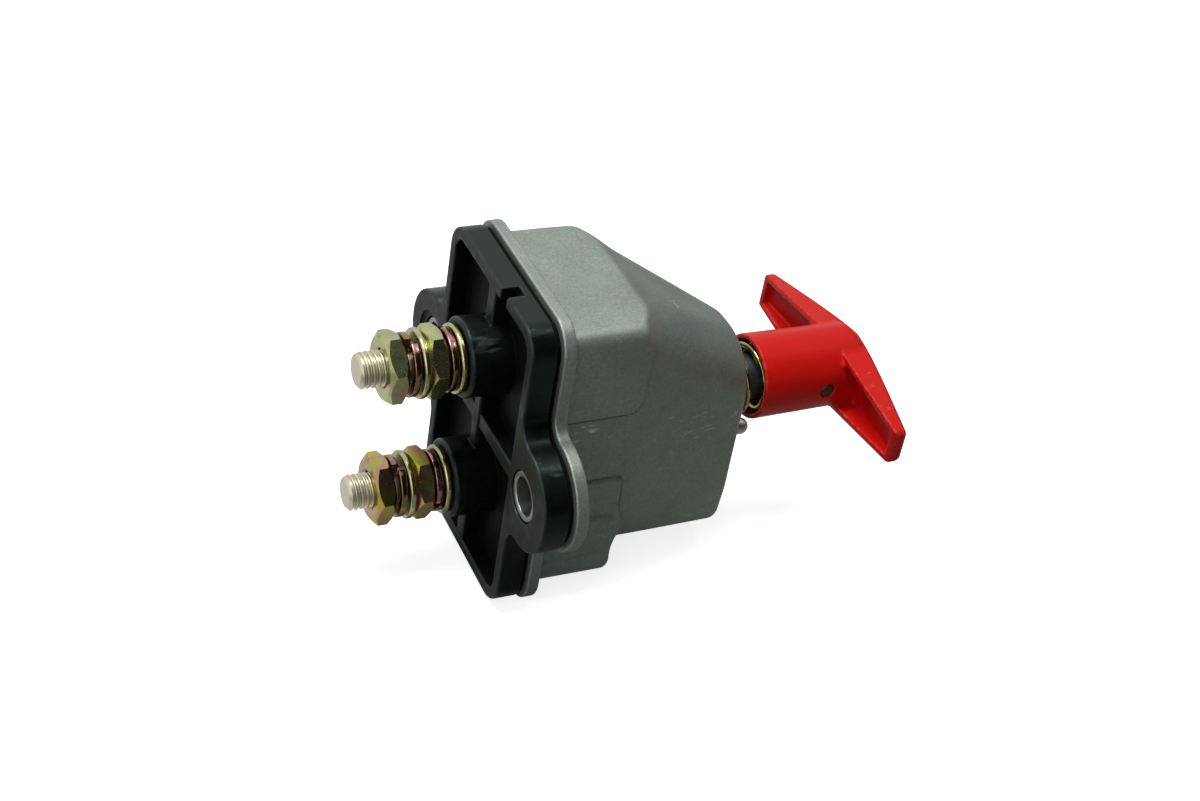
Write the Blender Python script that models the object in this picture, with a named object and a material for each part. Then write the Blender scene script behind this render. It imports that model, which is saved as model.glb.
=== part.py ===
"""Battery isolating switch with a red T-handle, modelled as the pieces it comes apart into.

Frame: metres, +Z up. The handle's axis is the Y axis, with the handle at -Y and the two
terminal studs at +Y. The origin is on that axis, in the plane of the base's rear rim.
"""

import math

import bmesh
import bpy

MM = 0.001

# Fits
SEAT_GAP = 0.3 * MM
RUNNING_CLEARANCE = 0.2 * MM
HOLE_CLEARANCE = 0.25 * MM

# Outline shared by the base, the gasket and the housing's flange
BASE_WIDTH = 58.4 * MM
BASE_HEIGHT = 91.2 * MM
BASE_CORNER_RADIUS = 8.0 * MM
EAR_SPACING = 70.0 * MM
EAR_RADIUS = 15.0 * MM
EAR_FILLET_RADIUS = 6.0 * MM

# Moulded base
BASE_DEPTH = 7.2 * MM
BASE_EDGE_ROUND = 0.5 * MM
BASE_WALL = 3.4 * MM
TRAY_DEPTH = 5.5 * MM
TRAY_CORNER_RADIUS = 5.0 * MM
RIB_WIDTH = 4.4 * MM
RIB_RECESS = 0.8 * MM
END_RIB_RECESS = 0.4 * MM
BOSS_DIAMETER = 22.0 * MM
BOSS_HEIGHT = 7.0 * MM
BOSS_EDGE_ROUND = 1.0 * MM
NOTCH_WIDTH = 4.2 * MM
NOTCH_OFFSET = 8.0 * MM
EAR_COUNTERBORE_DIAMETER = 18.0 * MM
EAR_COUNTERBORE_DEPTH = 1.0 * MM

# Ear sleeves
SLEEVE_OUTER_DIAMETER = 13.8 * MM
SLEEVE_BORE = 10.4 * MM
SLEEVE_RECESS = 0.5 * MM

# Gasket
GASKET_THICKNESS = 0.8 * MM
GASKET_INSET = 0.9 * MM

# Die-cast housing
FLANGE_THICKNESS = 3.6 * MM
FLANGE_OVERHANG = 1.0 * MM
FLANGE_EDGE_ROUND = 1.0 * MM
BLOCK_WIDTH = 54.0 * MM
BLOCK_TOP = 42.0 * MM
BLOCK_BOTTOM = -41.3 * MM
BLOCK_DEPTH = 23.0 * MM
BLOCK_CORNER_RADIUS = 3.4 * MM
BLOCK_INNER_RADIUS = 3.0 * MM
BLOCK_EDGE_ROUND = 3.0 * MM
UPPER_BLOCK_FOOT = 15.0 * MM
LOWER_BLOCK_HEAD = -6.5 * MM
NOSE_LENGTH = 62.0 * MM
NOSE_REAR_WIDTH = 52.8 * MM
NOSE_FRONT_WIDTH = 34.6 * MM
NOSE_REAR_TOP = 42.2 * MM
NOSE_FRONT_TOP = 20.6 * MM
NOSE_BOTTOM = -39.8 * MM
NOSE_REAR_TOP_RADIUS = 3.0 * MM
NOSE_FRONT_TOP_RADIUS = 15.9 * MM
NOSE_REAR_BOTTOM_RADIUS = 20.0 * MM
NOSE_FRONT_BOTTOM_RADIUS = 6.0 * MM
NOSE_SIDE_TAPER_START = 23.0 * MM
NOSE_SIDE_BLEND = 5.0 * MM
NOSE_TOP_SLOPE_START = 25.8 * MM
NOSE_TOP_BLEND = 2.0 * MM
NOSE_EDGE_ROUND = 1.8 * MM
HOUSING_WALL = 3.5 * MM
NOSE_FRONT_WALL = 12.0 * MM

# Terminal studs and what is on them, counted from the boss outwards
STUD_SPACING = 41.0 * MM
STUD_DIAMETER = 9.9 * MM
STUD_REACH = 35.0 * MM
STUD_END_CHAMFER = 0.6 * MM
STUD_HEAD_ACROSS_FLATS = 17.0 * MM
STUD_HEAD_THICKNESS = 4.0 * MM
NUT_ACROSS_FLATS = 17.0 * MM
NUT_THICKNESS = 5.3 * MM
NUT_CHAMFER_ANGLE = math.radians(30)
NUT_TURNS = {
    "inner_upper": math.radians(-20),
    "outer_upper": math.radians(-10),
    "inner_lower": math.radians(-25),
    "outer_lower": math.radians(-20),
}
FLAT_WASHER_DIAMETER = 19.0 * MM
FLAT_WASHER_THICKNESS = 1.8 * MM
LOCK_WASHER_DIAMETER = 17.4 * MM
LOCK_WASHER_THICKNESS = 1.9 * MM
INNER_LOCK_RISE = 0.3 * MM
OUTER_LOCK_RISE = 1.3 * MM
LOCK_WASHER_SPLIT = math.radians(12)
LOCK_WASHER_TURNS = {
    "inner_upper": math.radians(-60),
    "outer_upper": math.radians(-100),
    "inner_lower": math.radians(165),
    "outer_lower": math.radians(-105),
}

# Handle
HANDLE_TRAVEL = 5.0 * MM
HANDLE_TURN = math.radians(90)
HANDLE_GAP = 11.0 * MM
BARREL_LENGTH = 32.0 * MM
BARREL_MOUTH_DIAMETER = 24.8 * MM
BARREL_ROOT_DIAMETER = 24.0 * MM
BARREL_WALL = 1.4 * MM
BARREL_BORE_DEPTH = 12.0 * MM
BARREL_EDGE_ROUND = 0.5 * MM
BAR_SPAN = 80.8 * MM
BAR_FOOT = 24.2 * MM
BAR_CROWN = 34.0 * MM
BAR_TIP_DEPTH = 4.2 * MM
BAR_SWEEP_BLEND = 13.0 * MM
BAR_ROOT_THICKNESS = 21.0 * MM
BAR_TIP_THICKNESS = 10.9 * MM
BAR_EDGE_ROUND = 1.8 * MM
BAR_TIP_ROUND = 1.7 * MM
CHANNEL_WALL = 1.9 * MM
CHANNEL_WEB = 2.4 * MM
CHANNEL_ROOT = 12.8 * MM
HANDLE_PIN_DIAMETER = 4.0 * MM
HANDLE_PIN_PLACE = 19.2 * MM

# Shaft and what it turns in
SHAFT_DIAMETER = 14.0 * MM
SHAFT_IN_HANDLE = 29.5 * MM
JOURNAL_DIAMETER = 8.0 * MM
JOURNAL_BEYOND_CLIP = 2.4 * MM
BUSH_DIAMETER = 18.8 * MM
BUSH_LENGTH = 7.6 * MM
SEAL_SECTION = 2.2 * MM
SPRING_SEAT_DIAMETER = 21.6 * MM
SPRING_SEAT_THICKNESS = 0.9 * MM

# Return spring
SPRING_OUTER_DIAMETER = 20.4 * MM
SPRING_WIRE = 1.7 * MM
SPRING_ACTIVE_TURNS = 3.0
SPRING_END_PITCH = 2.3 * MM
SPRING_POINTS_PER_TURN = 10
SPRING_START_ANGLE = math.radians(46)

# Cam that turns the handle's swing into the shaft's stroke
CAM_DIAMETER = 34.4 * MM
CAM_PLATE = 7.7 * MM
CAM_LUG_HEIGHT = 9.0 * MM
CAM_PIN_DIAMETER = 4.0 * MM
CAM_PIN_LENGTH = 28.0 * MM
CAM_PIN_FLOAT = 0.5 * MM
DOWEL_DIAMETER = 3.0 * MM
DOWEL_HEAD_DIAMETER = 4.8 * MM
DOWEL_HEAD_HEIGHT = 4.2 * MM
DOWEL_DEPTH_IN_CAM = 4.0 * MM
DOWEL_X = -13.3 * MM
DOWEL_Z = -6.6 * MM

# Contact bridge and its carrier
CONTACT_GAP = HANDLE_TRAVEL + SEAT_GAP
BRIDGE_WIDTH = 16.0 * MM
BRIDGE_LENGTH = 57.0 * MM
BRIDGE_THICKNESS = 3.0 * MM
BRIDGE_CORNER_RADIUS = 2.0 * MM
CONTACT_PAD_DIAMETER = 10.0 * MM
CONTACT_PAD_HEIGHT = 1.0 * MM
LEAF_WIDTH = 12.0 * MM
LEAF_LENGTH = 26.0 * MM
LEAF_THICKNESS = 0.6 * MM
LEAF_BOW = 1.2 * MM
CARRIER_HEIGHT = 28.0 * MM
CARRIER_THICKNESS = 8.0 * MM
CLIP_DIAMETER = 13.0 * MM
CLIP_THICKNESS = 1.0 * MM
CLIP_OPENING = math.radians(70)

# Places along the Y axis
RIM_Y = 0.0
BASE_FRONT_Y = RIM_Y - BASE_DEPTH
GASKET_REAR_Y = BASE_FRONT_Y - SEAT_GAP
FLANGE_REAR_Y = GASKET_REAR_Y - GASKET_THICKNESS - SEAT_GAP
FLANGE_FRONT_Y = FLANGE_REAR_Y - FLANGE_THICKNESS
BLOCK_FRONT_Y = FLANGE_FRONT_Y - BLOCK_DEPTH
NOSE_FRONT_Y = FLANGE_FRONT_Y - NOSE_LENGTH
CAVITY_FRONT_Y = BLOCK_FRONT_Y + HOUSING_WALL
CAM_SEAT_Y = NOSE_FRONT_Y + NOSE_FRONT_WALL
CAM_REAR_Y = CAM_SEAT_Y + SEAT_GAP + CAM_PLATE
CAM_PIN_Y = CAM_REAR_Y + CAM_PIN_DIAMETER / 2 + CAM_PIN_FLOAT
MOUTH_Y = NOSE_FRONT_Y - HANDLE_GAP
SPRING_STOP_Y = MOUTH_Y - BARREL_BORE_DEPTH
HANDLE_PIN_Y = MOUTH_Y - HANDLE_PIN_PLACE
SHAFT_END_Y = MOUTH_Y - SHAFT_IN_HANDLE
STUD_HEAD_REAR_Y = BASE_FRONT_Y - SEAT_GAP
CONTACT_Y = STUD_HEAD_REAR_Y - STUD_HEAD_THICKNESS
PAD_Y = CONTACT_Y - CONTACT_GAP
BRIDGE_REAR_Y = PAD_Y - CONTACT_PAD_HEIGHT
BRIDGE_FRONT_Y = BRIDGE_REAR_Y - BRIDGE_THICKNESS
CARRIER_REAR_Y = BRIDGE_FRONT_Y - LEAF_BOW - LEAF_THICKNESS - 2 * SEAT_GAP
CARRIER_FRONT_Y = CARRIER_REAR_Y - CARRIER_THICKNESS
SHOULDER_Y = CARRIER_FRONT_Y - SEAT_GAP
CLIP_FRONT_Y = BRIDGE_REAR_Y + SEAT_GAP
SPRING_SEAT_REAR_Y = NOSE_FRONT_Y + SPRING_SEAT_THICKNESS
BORE_REAR_Y = SPRING_SEAT_REAR_Y + SEAT_GAP

EAR_X = EAR_SPACING / 2
STUD_Z = STUD_SPACING / 2
SHAFT_RADIUS = SHAFT_DIAMETER / 2
JOURNAL_RADIUS = JOURNAL_DIAMETER / 2
STUD_HOLE_RADIUS = STUD_DIAMETER / 2 + HOLE_CLEARANCE
SLEEVE_HOLE_RADIUS = SLEEVE_OUTER_DIAMETER / 2 + HOLE_CLEARANCE
HANDLE_PIN_HOLE_RADIUS = HANDLE_PIN_DIAMETER / 2 + RUNNING_CLEARANCE
CAM_PIN_HOLE_RADIUS = CAM_PIN_DIAMETER / 2 + RUNNING_CLEARANCE
DOWEL_HOLE_RADIUS = DOWEL_DIAMETER / 2 + RUNNING_CLEARANCE
SHAFT_HOLE_RADIUS = SHAFT_RADIUS + RUNNING_CLEARANCE
JOURNAL_HOLE_RADIUS = JOURNAL_RADIUS + RUNNING_CLEARANCE
BUSH_SEAT_RADIUS = BUSH_DIAMETER / 2 + RUNNING_CLEARANCE
CUT_PAST = 2.0 * MM


def clear_scene():
    for old in list(bpy.data.objects):
        bpy.data.objects.remove(old, do_unlink=True)


def make_material(name, colour, roughness, metallic):
    material = bpy.data.materials.new(name)
    material.use_nodes = True
    shader = material.node_tree.nodes["Principled BSDF"]
    shader.inputs["Base Color"].default_value = (*colour, 1.0)
    shader.inputs["Roughness"].default_value = roughness
    shader.inputs["Metallic"].default_value = metallic
    return material


def make_frame(name, place, parent=None):
    """An empty on the handle's axis that carries one moving group."""
    frame = bpy.data.objects.new(name, None)
    frame.location = place
    frame.parent = parent
    bpy.context.scene.collection.objects.link(frame)
    return frame


def make_object(name, mesh, material=None, parent=None, place=(0.0, 0.0, 0.0)):
    mesh.shade_smooth()
    mesh.set_sharp_from_angle(angle=math.radians(35))
    piece = bpy.data.objects.new(name, mesh)
    piece.location = place
    piece.parent = parent
    if material is not None:
        mesh.materials.append(material)
    bpy.context.scene.collection.objects.link(piece)
    return piece


def finish_mesh(name, points, faces):
    """A mesh with doubled points merged and its faces turned outwards."""
    shape = bmesh.new()
    corners = [shape.verts.new(point) for point in points]
    for face in faces:
        shape.faces.new([corners[index] for index in face])
    bmesh.ops.remove_doubles(shape, verts=shape.verts, dist=1e-7)
    bmesh.ops.dissolve_degenerate(shape, edges=shape.edges, dist=1e-7)
    bmesh.ops.recalc_face_normals(shape, faces=shape.faces)
    mesh = bpy.data.meshes.new(name)
    shape.to_mesh(mesh)
    shape.free()
    return mesh


def loft_mesh(name, loops, closed=False):
    """Skins loops of equal length. An open run gets end caps, a closed one joins end to start."""
    count = len(loops[0])
    points = [point for loop in loops for point in loop]
    faces = []
    for step in range(len(loops) if closed else len(loops) - 1):
        here = step * count
        there = (step + 1) % len(loops) * count
        for i in range(count):
            j = (i + 1) % count
            faces.append((here + i, here + j, there + j, there + i))
    if not closed:
        faces.append(tuple(range(count)))
        faces.append(tuple(range(len(points) - count, len(points))))
    return finish_mesh(name, points, faces)


def turned_mesh(name, profile, segments):
    """A solid turned about the Y axis, from (radius, y) points given from one flat end to the other."""
    ring = [2 * math.pi * step / segments for step in range(segments)]
    loops = []
    for radius, y in profile:
        loops.append([(radius * math.cos(angle), y, radius * math.sin(angle)) for angle in ring])
    return loft_mesh(name, loops)


def turned_ring_mesh(name, profile, segments):
    """A ring about the Y axis, from the closed outline of its section in (radius, y) points."""
    loops = []
    for step in range(segments):
        angle = 2 * math.pi * step / segments
        loops.append([(r * math.cos(angle), y, r * math.sin(angle)) for r, y in profile])
    return loft_mesh(name, loops, closed=True)


def ring_mesh(name, inner_radius, outer_radius, rear_y, front_y, segments):
    profile = [(inner_radius, rear_y), (outer_radius, rear_y)]
    profile += [(outer_radius, front_y), (inner_radius, front_y)]
    return turned_ring_mesh(name, profile, segments)


def rod_mesh(name, radius, rear_y, front_y, segments):
    return turned_mesh(name, [(radius, rear_y), (radius, front_y)], segments)


def split_ring_mesh(name, inner_radius, outer_radius, thickness, rise, opening, segments):
    """A ring with a gap, whose two ends stand apart along Y by the rise."""
    loops = []
    sweep = 2 * math.pi - opening
    for step in range(segments + 1):
        share = step / segments
        angle = opening / 2 + sweep * share
        low = rise * share
        high = low + thickness
        corners = [(inner_radius, low), (outer_radius, low), (outer_radius, high), (inner_radius, high)]
        loops.append([(r * math.cos(angle), y, r * math.sin(angle)) for r, y in corners])
    return loft_mesh(name, loops)


def cross_rod_mesh(name, radius, half_length, segments):
    """A pin along X."""
    ring = [2 * math.pi * step / segments for step in range(segments)]
    loops = []
    for x in (-half_length, half_length):
        loops.append([(x, radius * math.cos(angle), radius * math.sin(angle)) for angle in ring])
    return loft_mesh(name, loops)


def arc(centre_x, centre_z, radius, start, end, steps):
    points = []
    for step in range(steps + 1):
        angle = start + (end - start) * step / steps
        points.append((centre_x + radius * math.cos(angle), centre_z + radius * math.sin(angle)))
    return points


def at_height(outline, y):
    return [(x, y, z) for x, z in outline]


def mirrored_four_ways(quarter):
    """A full outline from its first quadrant, given from the X axis round to the Z axis."""
    second = [(-x, z) for x, z in reversed(quarter)]
    third = [(-x, -z) for x, z in quarter]
    fourth = [(x, -z) for x, z in reversed(quarter)]
    outline = []
    for point in quarter + second + third + fourth:
        if not outline or math.dist(point, outline[-1]) > 1e-6:
            outline.append(point)
    if math.dist(outline[0], outline[-1]) < 1e-6:
        outline.pop()
    return outline


def eared_outline(offset=0.0):
    """The base's outline grown by an offset: a rounded rectangle with an ear blended into each side."""
    half_width = BASE_WIDTH / 2
    half_height = BASE_HEIGHT / 2
    fillet_x = half_width + EAR_FILLET_RADIUS
    reach = EAR_RADIUS + EAR_FILLET_RADIUS
    fillet_z = math.sqrt(reach**2 - (fillet_x - EAR_X) ** 2)
    tangent = math.atan2(fillet_z, fillet_x - EAR_X)
    corner_x = half_width - BASE_CORNER_RADIUS
    corner_z = half_height - BASE_CORNER_RADIUS
    quarter = arc(EAR_X, 0.0, EAR_RADIUS + offset, 0.0, tangent, 9)
    quarter += arc(fillet_x, fillet_z, EAR_FILLET_RADIUS - offset, tangent + math.pi, math.pi, 5)
    quarter += arc(corner_x, corner_z, BASE_CORNER_RADIUS + offset, 0.0, math.pi / 2, 6)
    return mirrored_four_ways(quarter)


def rounded_outline(half_width, low, high, low_radius, high_radius, steps=6):
    """A rectangle symmetric in X, with its own corner radius at each end of Z."""
    outline = arc(half_width - low_radius, low + low_radius, low_radius, -math.pi / 2, 0.0, steps)
    outline += arc(half_width - high_radius, high - high_radius, high_radius, 0.0, math.pi / 2, steps)
    outline += arc(high_radius - half_width, high - high_radius, high_radius, math.pi / 2, math.pi, steps)
    outline += arc(low_radius - half_width, low + low_radius, low_radius, math.pi, 1.5 * math.pi, steps)
    return outline


def box_mesh(name, half_width, rear_y, front_y, low, high):
    corners = [(half_width, low), (half_width, high), (-half_width, high), (-half_width, low)]
    return loft_mesh(name, [at_height(corners, rear_y), at_height(corners, front_y)])


def hide_tool(tool):
    tool.hide_render = True
    tool.display_type = "WIRE"


def combine(piece, mesh, operation, place=(0.0, 0.0, 0.0), turn=(0.0, 0.0, 0.0)):
    """Adds a live Boolean to a piece, with a hidden tool made from the mesh."""
    tool = make_object(mesh.name, mesh, place=place)
    tool.rotation_euler = turn
    tool.parent = piece
    hide_tool(tool)
    modifier = piece.modifiers.new(mesh.name, "BOOLEAN")
    modifier.operation = operation
    modifier.solver = "EXACT"
    modifier.object = tool


def cut(piece, mesh, place=(0.0, 0.0, 0.0), turn=(0.0, 0.0, 0.0)):
    combine(piece, mesh, "DIFFERENCE", place, turn)


def join(piece, mesh, place=(0.0, 0.0, 0.0)):
    combine(piece, mesh, "UNION", place)


def eased(distance, blend):
    """Zero before a start, the distance itself well after it, and a smooth bend between."""
    return (distance + math.hypot(distance, blend)) / 2


def make_base(material):
    """Black moulded tray that carries the studs: rim, cross ribs, two bosses and two ears."""
    levels = [(RIM_Y, -BASE_EDGE_ROUND), (RIM_Y - BASE_EDGE_ROUND, 0.0), (BASE_FRONT_Y, 0.0)]
    loops = [at_height(eared_outline(inset), y) for y, inset in levels]
    base = make_object("base", loft_mesh("base", loops), material)
    inner_x = BASE_WIDTH / 2 - BASE_WALL
    inner_z = BASE_HEIGHT / 2 - BASE_WALL
    tray = rounded_outline(inner_x, -inner_z, inner_z, TRAY_CORNER_RADIUS, TRAY_CORNER_RADIUS)
    tray_floor_y = RIM_Y - TRAY_DEPTH
    tray_loops = [at_height(tray, RIM_Y + CUT_PAST), at_height(tray, tray_floor_y)]
    cut(base, loft_mesh("base_tray", tray_loops))
    buried_y = (tray_floor_y + BASE_FRONT_Y) / 2
    rib_top_y = RIM_Y - RIB_RECESS
    rib_end_x = inner_x + BASE_WALL / 2
    rib_end_z = inner_z + BASE_WALL / 2
    half_rib = RIB_WIDTH / 2
    join(base, box_mesh("base_ear_rib", rib_end_x, rib_top_y, buried_y, -half_rib, half_rib))
    stud_rib_top_y = rib_top_y - BASE_EDGE_ROUND / 2
    join(base, box_mesh("base_stud_rib", half_rib, stud_rib_top_y, buried_y, -STUD_Z, STUD_Z))
    end_rib_top_y = RIM_Y - END_RIB_RECESS
    join(base, box_mesh("base_upper_end_rib", half_rib, end_rib_top_y, buried_y, STUD_Z, rib_end_z))
    join(base, box_mesh("base_lower_end_rib", half_rib, end_rib_top_y, buried_y, -rib_end_z, -STUD_Z))
    boss_radius = BOSS_DIAMETER / 2
    boss_profile = [
        (boss_radius - BOSS_EDGE_ROUND, BOSS_HEIGHT),
        (boss_radius, BOSS_HEIGHT - BOSS_EDGE_ROUND),
        (boss_radius, buried_y),
    ]
    above_boss_y = BOSS_HEIGHT + CUT_PAST
    above_rim_y = RIM_Y + CUT_PAST
    below_base_y = BASE_FRONT_Y - CUT_PAST
    for end, z in (("upper", STUD_Z), ("lower", -STUD_Z)):
        join(base, turned_mesh(f"base_{end}_boss", boss_profile, 32), (0.0, 0.0, z))
        bore = rod_mesh(f"base_{end}_stud_hole", STUD_HOLE_RADIUS, above_boss_y, below_base_y, 24)
        cut(base, bore, (0.0, 0.0, z))
    for side, x in (("left", EAR_X), ("right", -EAR_X)):
        hole = rod_mesh(f"base_{side}_ear_hole", SLEEVE_HOLE_RADIUS, above_rim_y, below_base_y, 32)
        cut(base, hole, (x, 0.0, 0.0))
    counterbore_radius = EAR_COUNTERBORE_DIAMETER / 2
    counterbore_y = RIM_Y - EAR_COUNTERBORE_DEPTH
    counterbore = rod_mesh("base_ear_counterbore", counterbore_radius, above_rim_y, counterbore_y, 32)
    cut(base, counterbore, (EAR_X, 0.0, 0.0))
    notch = box_mesh(
        "base_rim_notch",
        NOTCH_WIDTH / 2,
        above_rim_y,
        tray_floor_y + BASE_EDGE_ROUND,
        inner_z - BASE_EDGE_ROUND,
        BASE_HEIGHT / 2 + CUT_PAST,
    )
    cut(base, notch, (-NOTCH_OFFSET, 0.0, 0.0))


def make_gasket(material):
    rear_y = GASKET_REAR_Y
    outline = eared_outline(-GASKET_INSET)
    loops = [at_height(outline, rear_y), at_height(outline, rear_y - GASKET_THICKNESS)]
    gasket = make_object("gasket", loft_mesh("gasket", loops), material)
    cut(gasket, cavity_mesh("gasket_opening", RIM_Y))
    for side, x in (("left", EAR_X), ("right", -EAR_X)):
        hole = rod_mesh(f"gasket_{side}_ear_hole", SLEEVE_HOLE_RADIUS, RIM_Y, FLANGE_FRONT_Y, 32)
        cut(gasket, hole, (x, 0.0, 0.0))


def make_sleeves(material):
    inner = SLEEVE_BORE / 2
    outer = SLEEVE_OUTER_DIAMETER / 2
    rear_y = RIM_Y - SLEEVE_RECESS
    front_y = FLANGE_REAR_Y + SEAT_GAP
    for side, x in (("left", EAR_X), ("right", -EAR_X)):
        seat_y = rear_y - EAR_COUNTERBORE_DEPTH if side == "left" else rear_y
        mesh = ring_mesh(f"ear_sleeve_{side}", inner, outer, seat_y, front_y, 32)
        make_object(mesh.name, mesh, material, place=(x, 0.0, 0.0))


def cavity_mesh(name, rear_y):
    """The room inside the housing's block that the contacts work in."""
    half_width = BLOCK_WIDTH / 2 - HOUSING_WALL
    low = BLOCK_BOTTOM + HOUSING_WALL
    high = BLOCK_TOP - HOUSING_WALL
    outline = rounded_outline(half_width, low, high, BLOCK_CORNER_RADIUS, BLOCK_CORNER_RADIUS, 3)
    return loft_mesh(name, [at_height(outline, rear_y), at_height(outline, CAVITY_FRONT_Y)])


def nose_outline(y, inset):
    """The nose's cross-section: wide and square at the flange, narrow with an arched top at the front."""
    run = FLANGE_FRONT_Y - y
    along = min(max((run - BLOCK_DEPTH) / (NOSE_LENGTH - BLOCK_DEPTH), 0.0), 1.0)
    narrowing = NOSE_REAR_WIDTH / 2 - NOSE_FRONT_WIDTH / 2
    side_reach = eased(NOSE_LENGTH - NOSE_SIDE_TAPER_START, NOSE_SIDE_BLEND)
    side_share = eased(run - NOSE_SIDE_TAPER_START, NOSE_SIDE_BLEND) / side_reach
    half_width = NOSE_REAR_WIDTH / 2 - narrowing * side_share
    top_reach = eased(NOSE_LENGTH - NOSE_TOP_SLOPE_START, NOSE_TOP_BLEND)
    top_share = eased(run - NOSE_TOP_SLOPE_START, NOSE_TOP_BLEND) / top_reach
    top = NOSE_REAR_TOP - (NOSE_REAR_TOP - NOSE_FRONT_TOP) * top_share
    top_radius = NOSE_REAR_TOP_RADIUS + (NOSE_FRONT_TOP_RADIUS - NOSE_REAR_TOP_RADIUS) * along
    low_radius = NOSE_REAR_BOTTOM_RADIUS + (NOSE_FRONT_BOTTOM_RADIUS - NOSE_REAR_BOTTOM_RADIUS) * along
    return rounded_outline(
        half_width - inset, NOSE_BOTTOM + inset, top - inset, low_radius - inset, top_radius - inset, 7
    )


def nose_mesh():
    rear_y = (FLANGE_REAR_Y + FLANGE_FRONT_Y) / 2
    bend = FLANGE_FRONT_Y - NOSE_TOP_SLOPE_START
    stations = [rear_y, BLOCK_FRONT_Y + 2 * NOSE_SIDE_BLEND, BLOCK_FRONT_Y + NOSE_SIDE_BLEND / 2]
    stations += [bend + NOSE_TOP_BLEND * share for share in (1.0, 0.3, -0.3, -1.0, -2.4)]
    stations += [bend + (NOSE_FRONT_Y - bend) * share for share in (0.35, 0.65)]
    loops = [at_height(nose_outline(y, 0.0), y) for y in stations]
    for turn in (0.0, math.pi / 4, math.pi / 2):
        y = NOSE_FRONT_Y + NOSE_EDGE_ROUND * (1 - math.sin(turn))
        inset = NOSE_EDGE_ROUND * (1 - math.cos(turn))
        loops.append(at_height(nose_outline(y, inset), y))
    return loft_mesh("housing_nose", loops)


def block_mesh(name, low, high, low_radius, high_radius):
    """A terminal block on the flange, with its front edge rounded."""
    rear_y = (FLANGE_REAR_Y + FLANGE_FRONT_Y) / 2
    levels = [(rear_y, 0.0)]
    for turn in (0.0, math.pi / 4, math.pi / 2):
        inset = BLOCK_EDGE_ROUND * (1 - math.cos(turn))
        levels.append((BLOCK_FRONT_Y + BLOCK_EDGE_ROUND * (1 - math.sin(turn)), inset))
    loops = []
    for y, inset in levels:
        outline = rounded_outline(
            BLOCK_WIDTH / 2 - inset,
            low + inset,
            high - inset,
            max(low_radius - inset, BASE_EDGE_ROUND),
            max(high_radius - inset, BASE_EDGE_ROUND),
            4,
        )
        loops.append(at_height(outline, y))
    return loft_mesh(name, loops)


def make_housing(material):
    """Die-cast housing: eared flange, two terminal blocks and a sloping nose, hollow from the rear."""
    levels = [(FLANGE_REAR_Y, -FLANGE_EDGE_ROUND / 2), (FLANGE_REAR_Y - FLANGE_EDGE_ROUND / 2, 0.0)]
    for turn in (0.0, math.pi / 4, math.pi / 2):
        inset = FLANGE_EDGE_ROUND * (1 - math.cos(turn))
        levels.append((FLANGE_FRONT_Y + FLANGE_EDGE_ROUND * (1 - math.sin(turn)), -inset))
    loops = [at_height(eared_outline(FLANGE_OVERHANG + inset), y) for y, inset in levels]
    housing = make_object("housing", loft_mesh("housing", loops), material)
    join(housing, nose_mesh())
    corner = BLOCK_CORNER_RADIUS
    inner = BLOCK_INNER_RADIUS
    join(housing, block_mesh("housing_upper_block", UPPER_BLOCK_FOOT, BLOCK_TOP, inner, corner))
    join(housing, block_mesh("housing_lower_block", BLOCK_BOTTOM, LOWER_BLOCK_HEAD, corner, inner))
    cut(housing, cavity_mesh("housing_cavity", RIM_Y))
    cam_radius = CAM_DIAMETER / 2 + SEAT_GAP
    cut(housing, rod_mesh("housing_cam_bore", cam_radius, CAVITY_FRONT_Y + CUT_PAST, CAM_SEAT_Y, 40))
    past_front_y = NOSE_FRONT_Y - CUT_PAST
    cut(housing, rod_mesh("housing_shaft_bore", BUSH_SEAT_RADIUS, CAM_SEAT_Y + CUT_PAST, past_front_y, 32))
    seat_radius = SPRING_SEAT_DIAMETER / 2 + SEAT_GAP
    cut(housing, rod_mesh("housing_spring_recess", seat_radius, BORE_REAR_Y, past_front_y, 32))
    dowel_hole = rod_mesh("housing_dowel_hole", DOWEL_HOLE_RADIUS, CAM_SEAT_Y + CUT_PAST, past_front_y, 12)
    cut(housing, dowel_hole, (DOWEL_X, 0.0, DOWEL_Z))
    for side, x in (("left", EAR_X), ("right", -EAR_X)):
        hole = rod_mesh(f"housing_{side}_ear_hole", SLEEVE_BORE / 2, RIM_Y, FLANGE_FRONT_Y - CUT_PAST, 32)
        cut(housing, hole, (x, 0.0, 0.0))


def hexagon_radius(across_flats, angle):
    """Distance from the centre of a hexagon to its side, with a corner on the Z axis."""
    turned = (angle - math.pi / 2 + math.pi / 6) % (math.pi / 3) - math.pi / 6
    return across_flats / 2 / math.cos(math.pi / 6 - abs(turned))


def nut_mesh():
    """A hexagon nut with both faces chamfered to the circle across its flats."""
    bore = STUD_HOLE_RADIUS
    face = NUT_ACROSS_FLATS / 2 * math.cos(math.radians(15))
    loops = []
    for step in range(24):
        angle = math.pi / 2 + 2 * math.pi * step / 24
        edge = hexagon_radius(NUT_ACROSS_FLATS, angle)
        drop = (edge - face) * math.tan(NUT_CHAMFER_ANGLE)
        profile = [(bore, 0.0), (face, 0.0), (edge, drop)]
        profile += [(edge, NUT_THICKNESS - drop), (face, NUT_THICKNESS), (bore, NUT_THICKNESS)]
        loops.append([(r * math.cos(angle), y, r * math.sin(angle)) for r, y in profile])
    return loft_mesh("nut", loops, closed=True)


def stud_mesh(name):
    radius = STUD_DIAMETER / 2
    tip = radius - STUD_END_CHAMFER
    profile = [
        (tip, STUD_REACH),
        (radius, STUD_REACH - STUD_END_CHAMFER),
        (radius, CONTACT_Y + STUD_HEAD_THICKNESS / 2),
    ]
    return turned_mesh(name, profile, 28)


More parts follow.
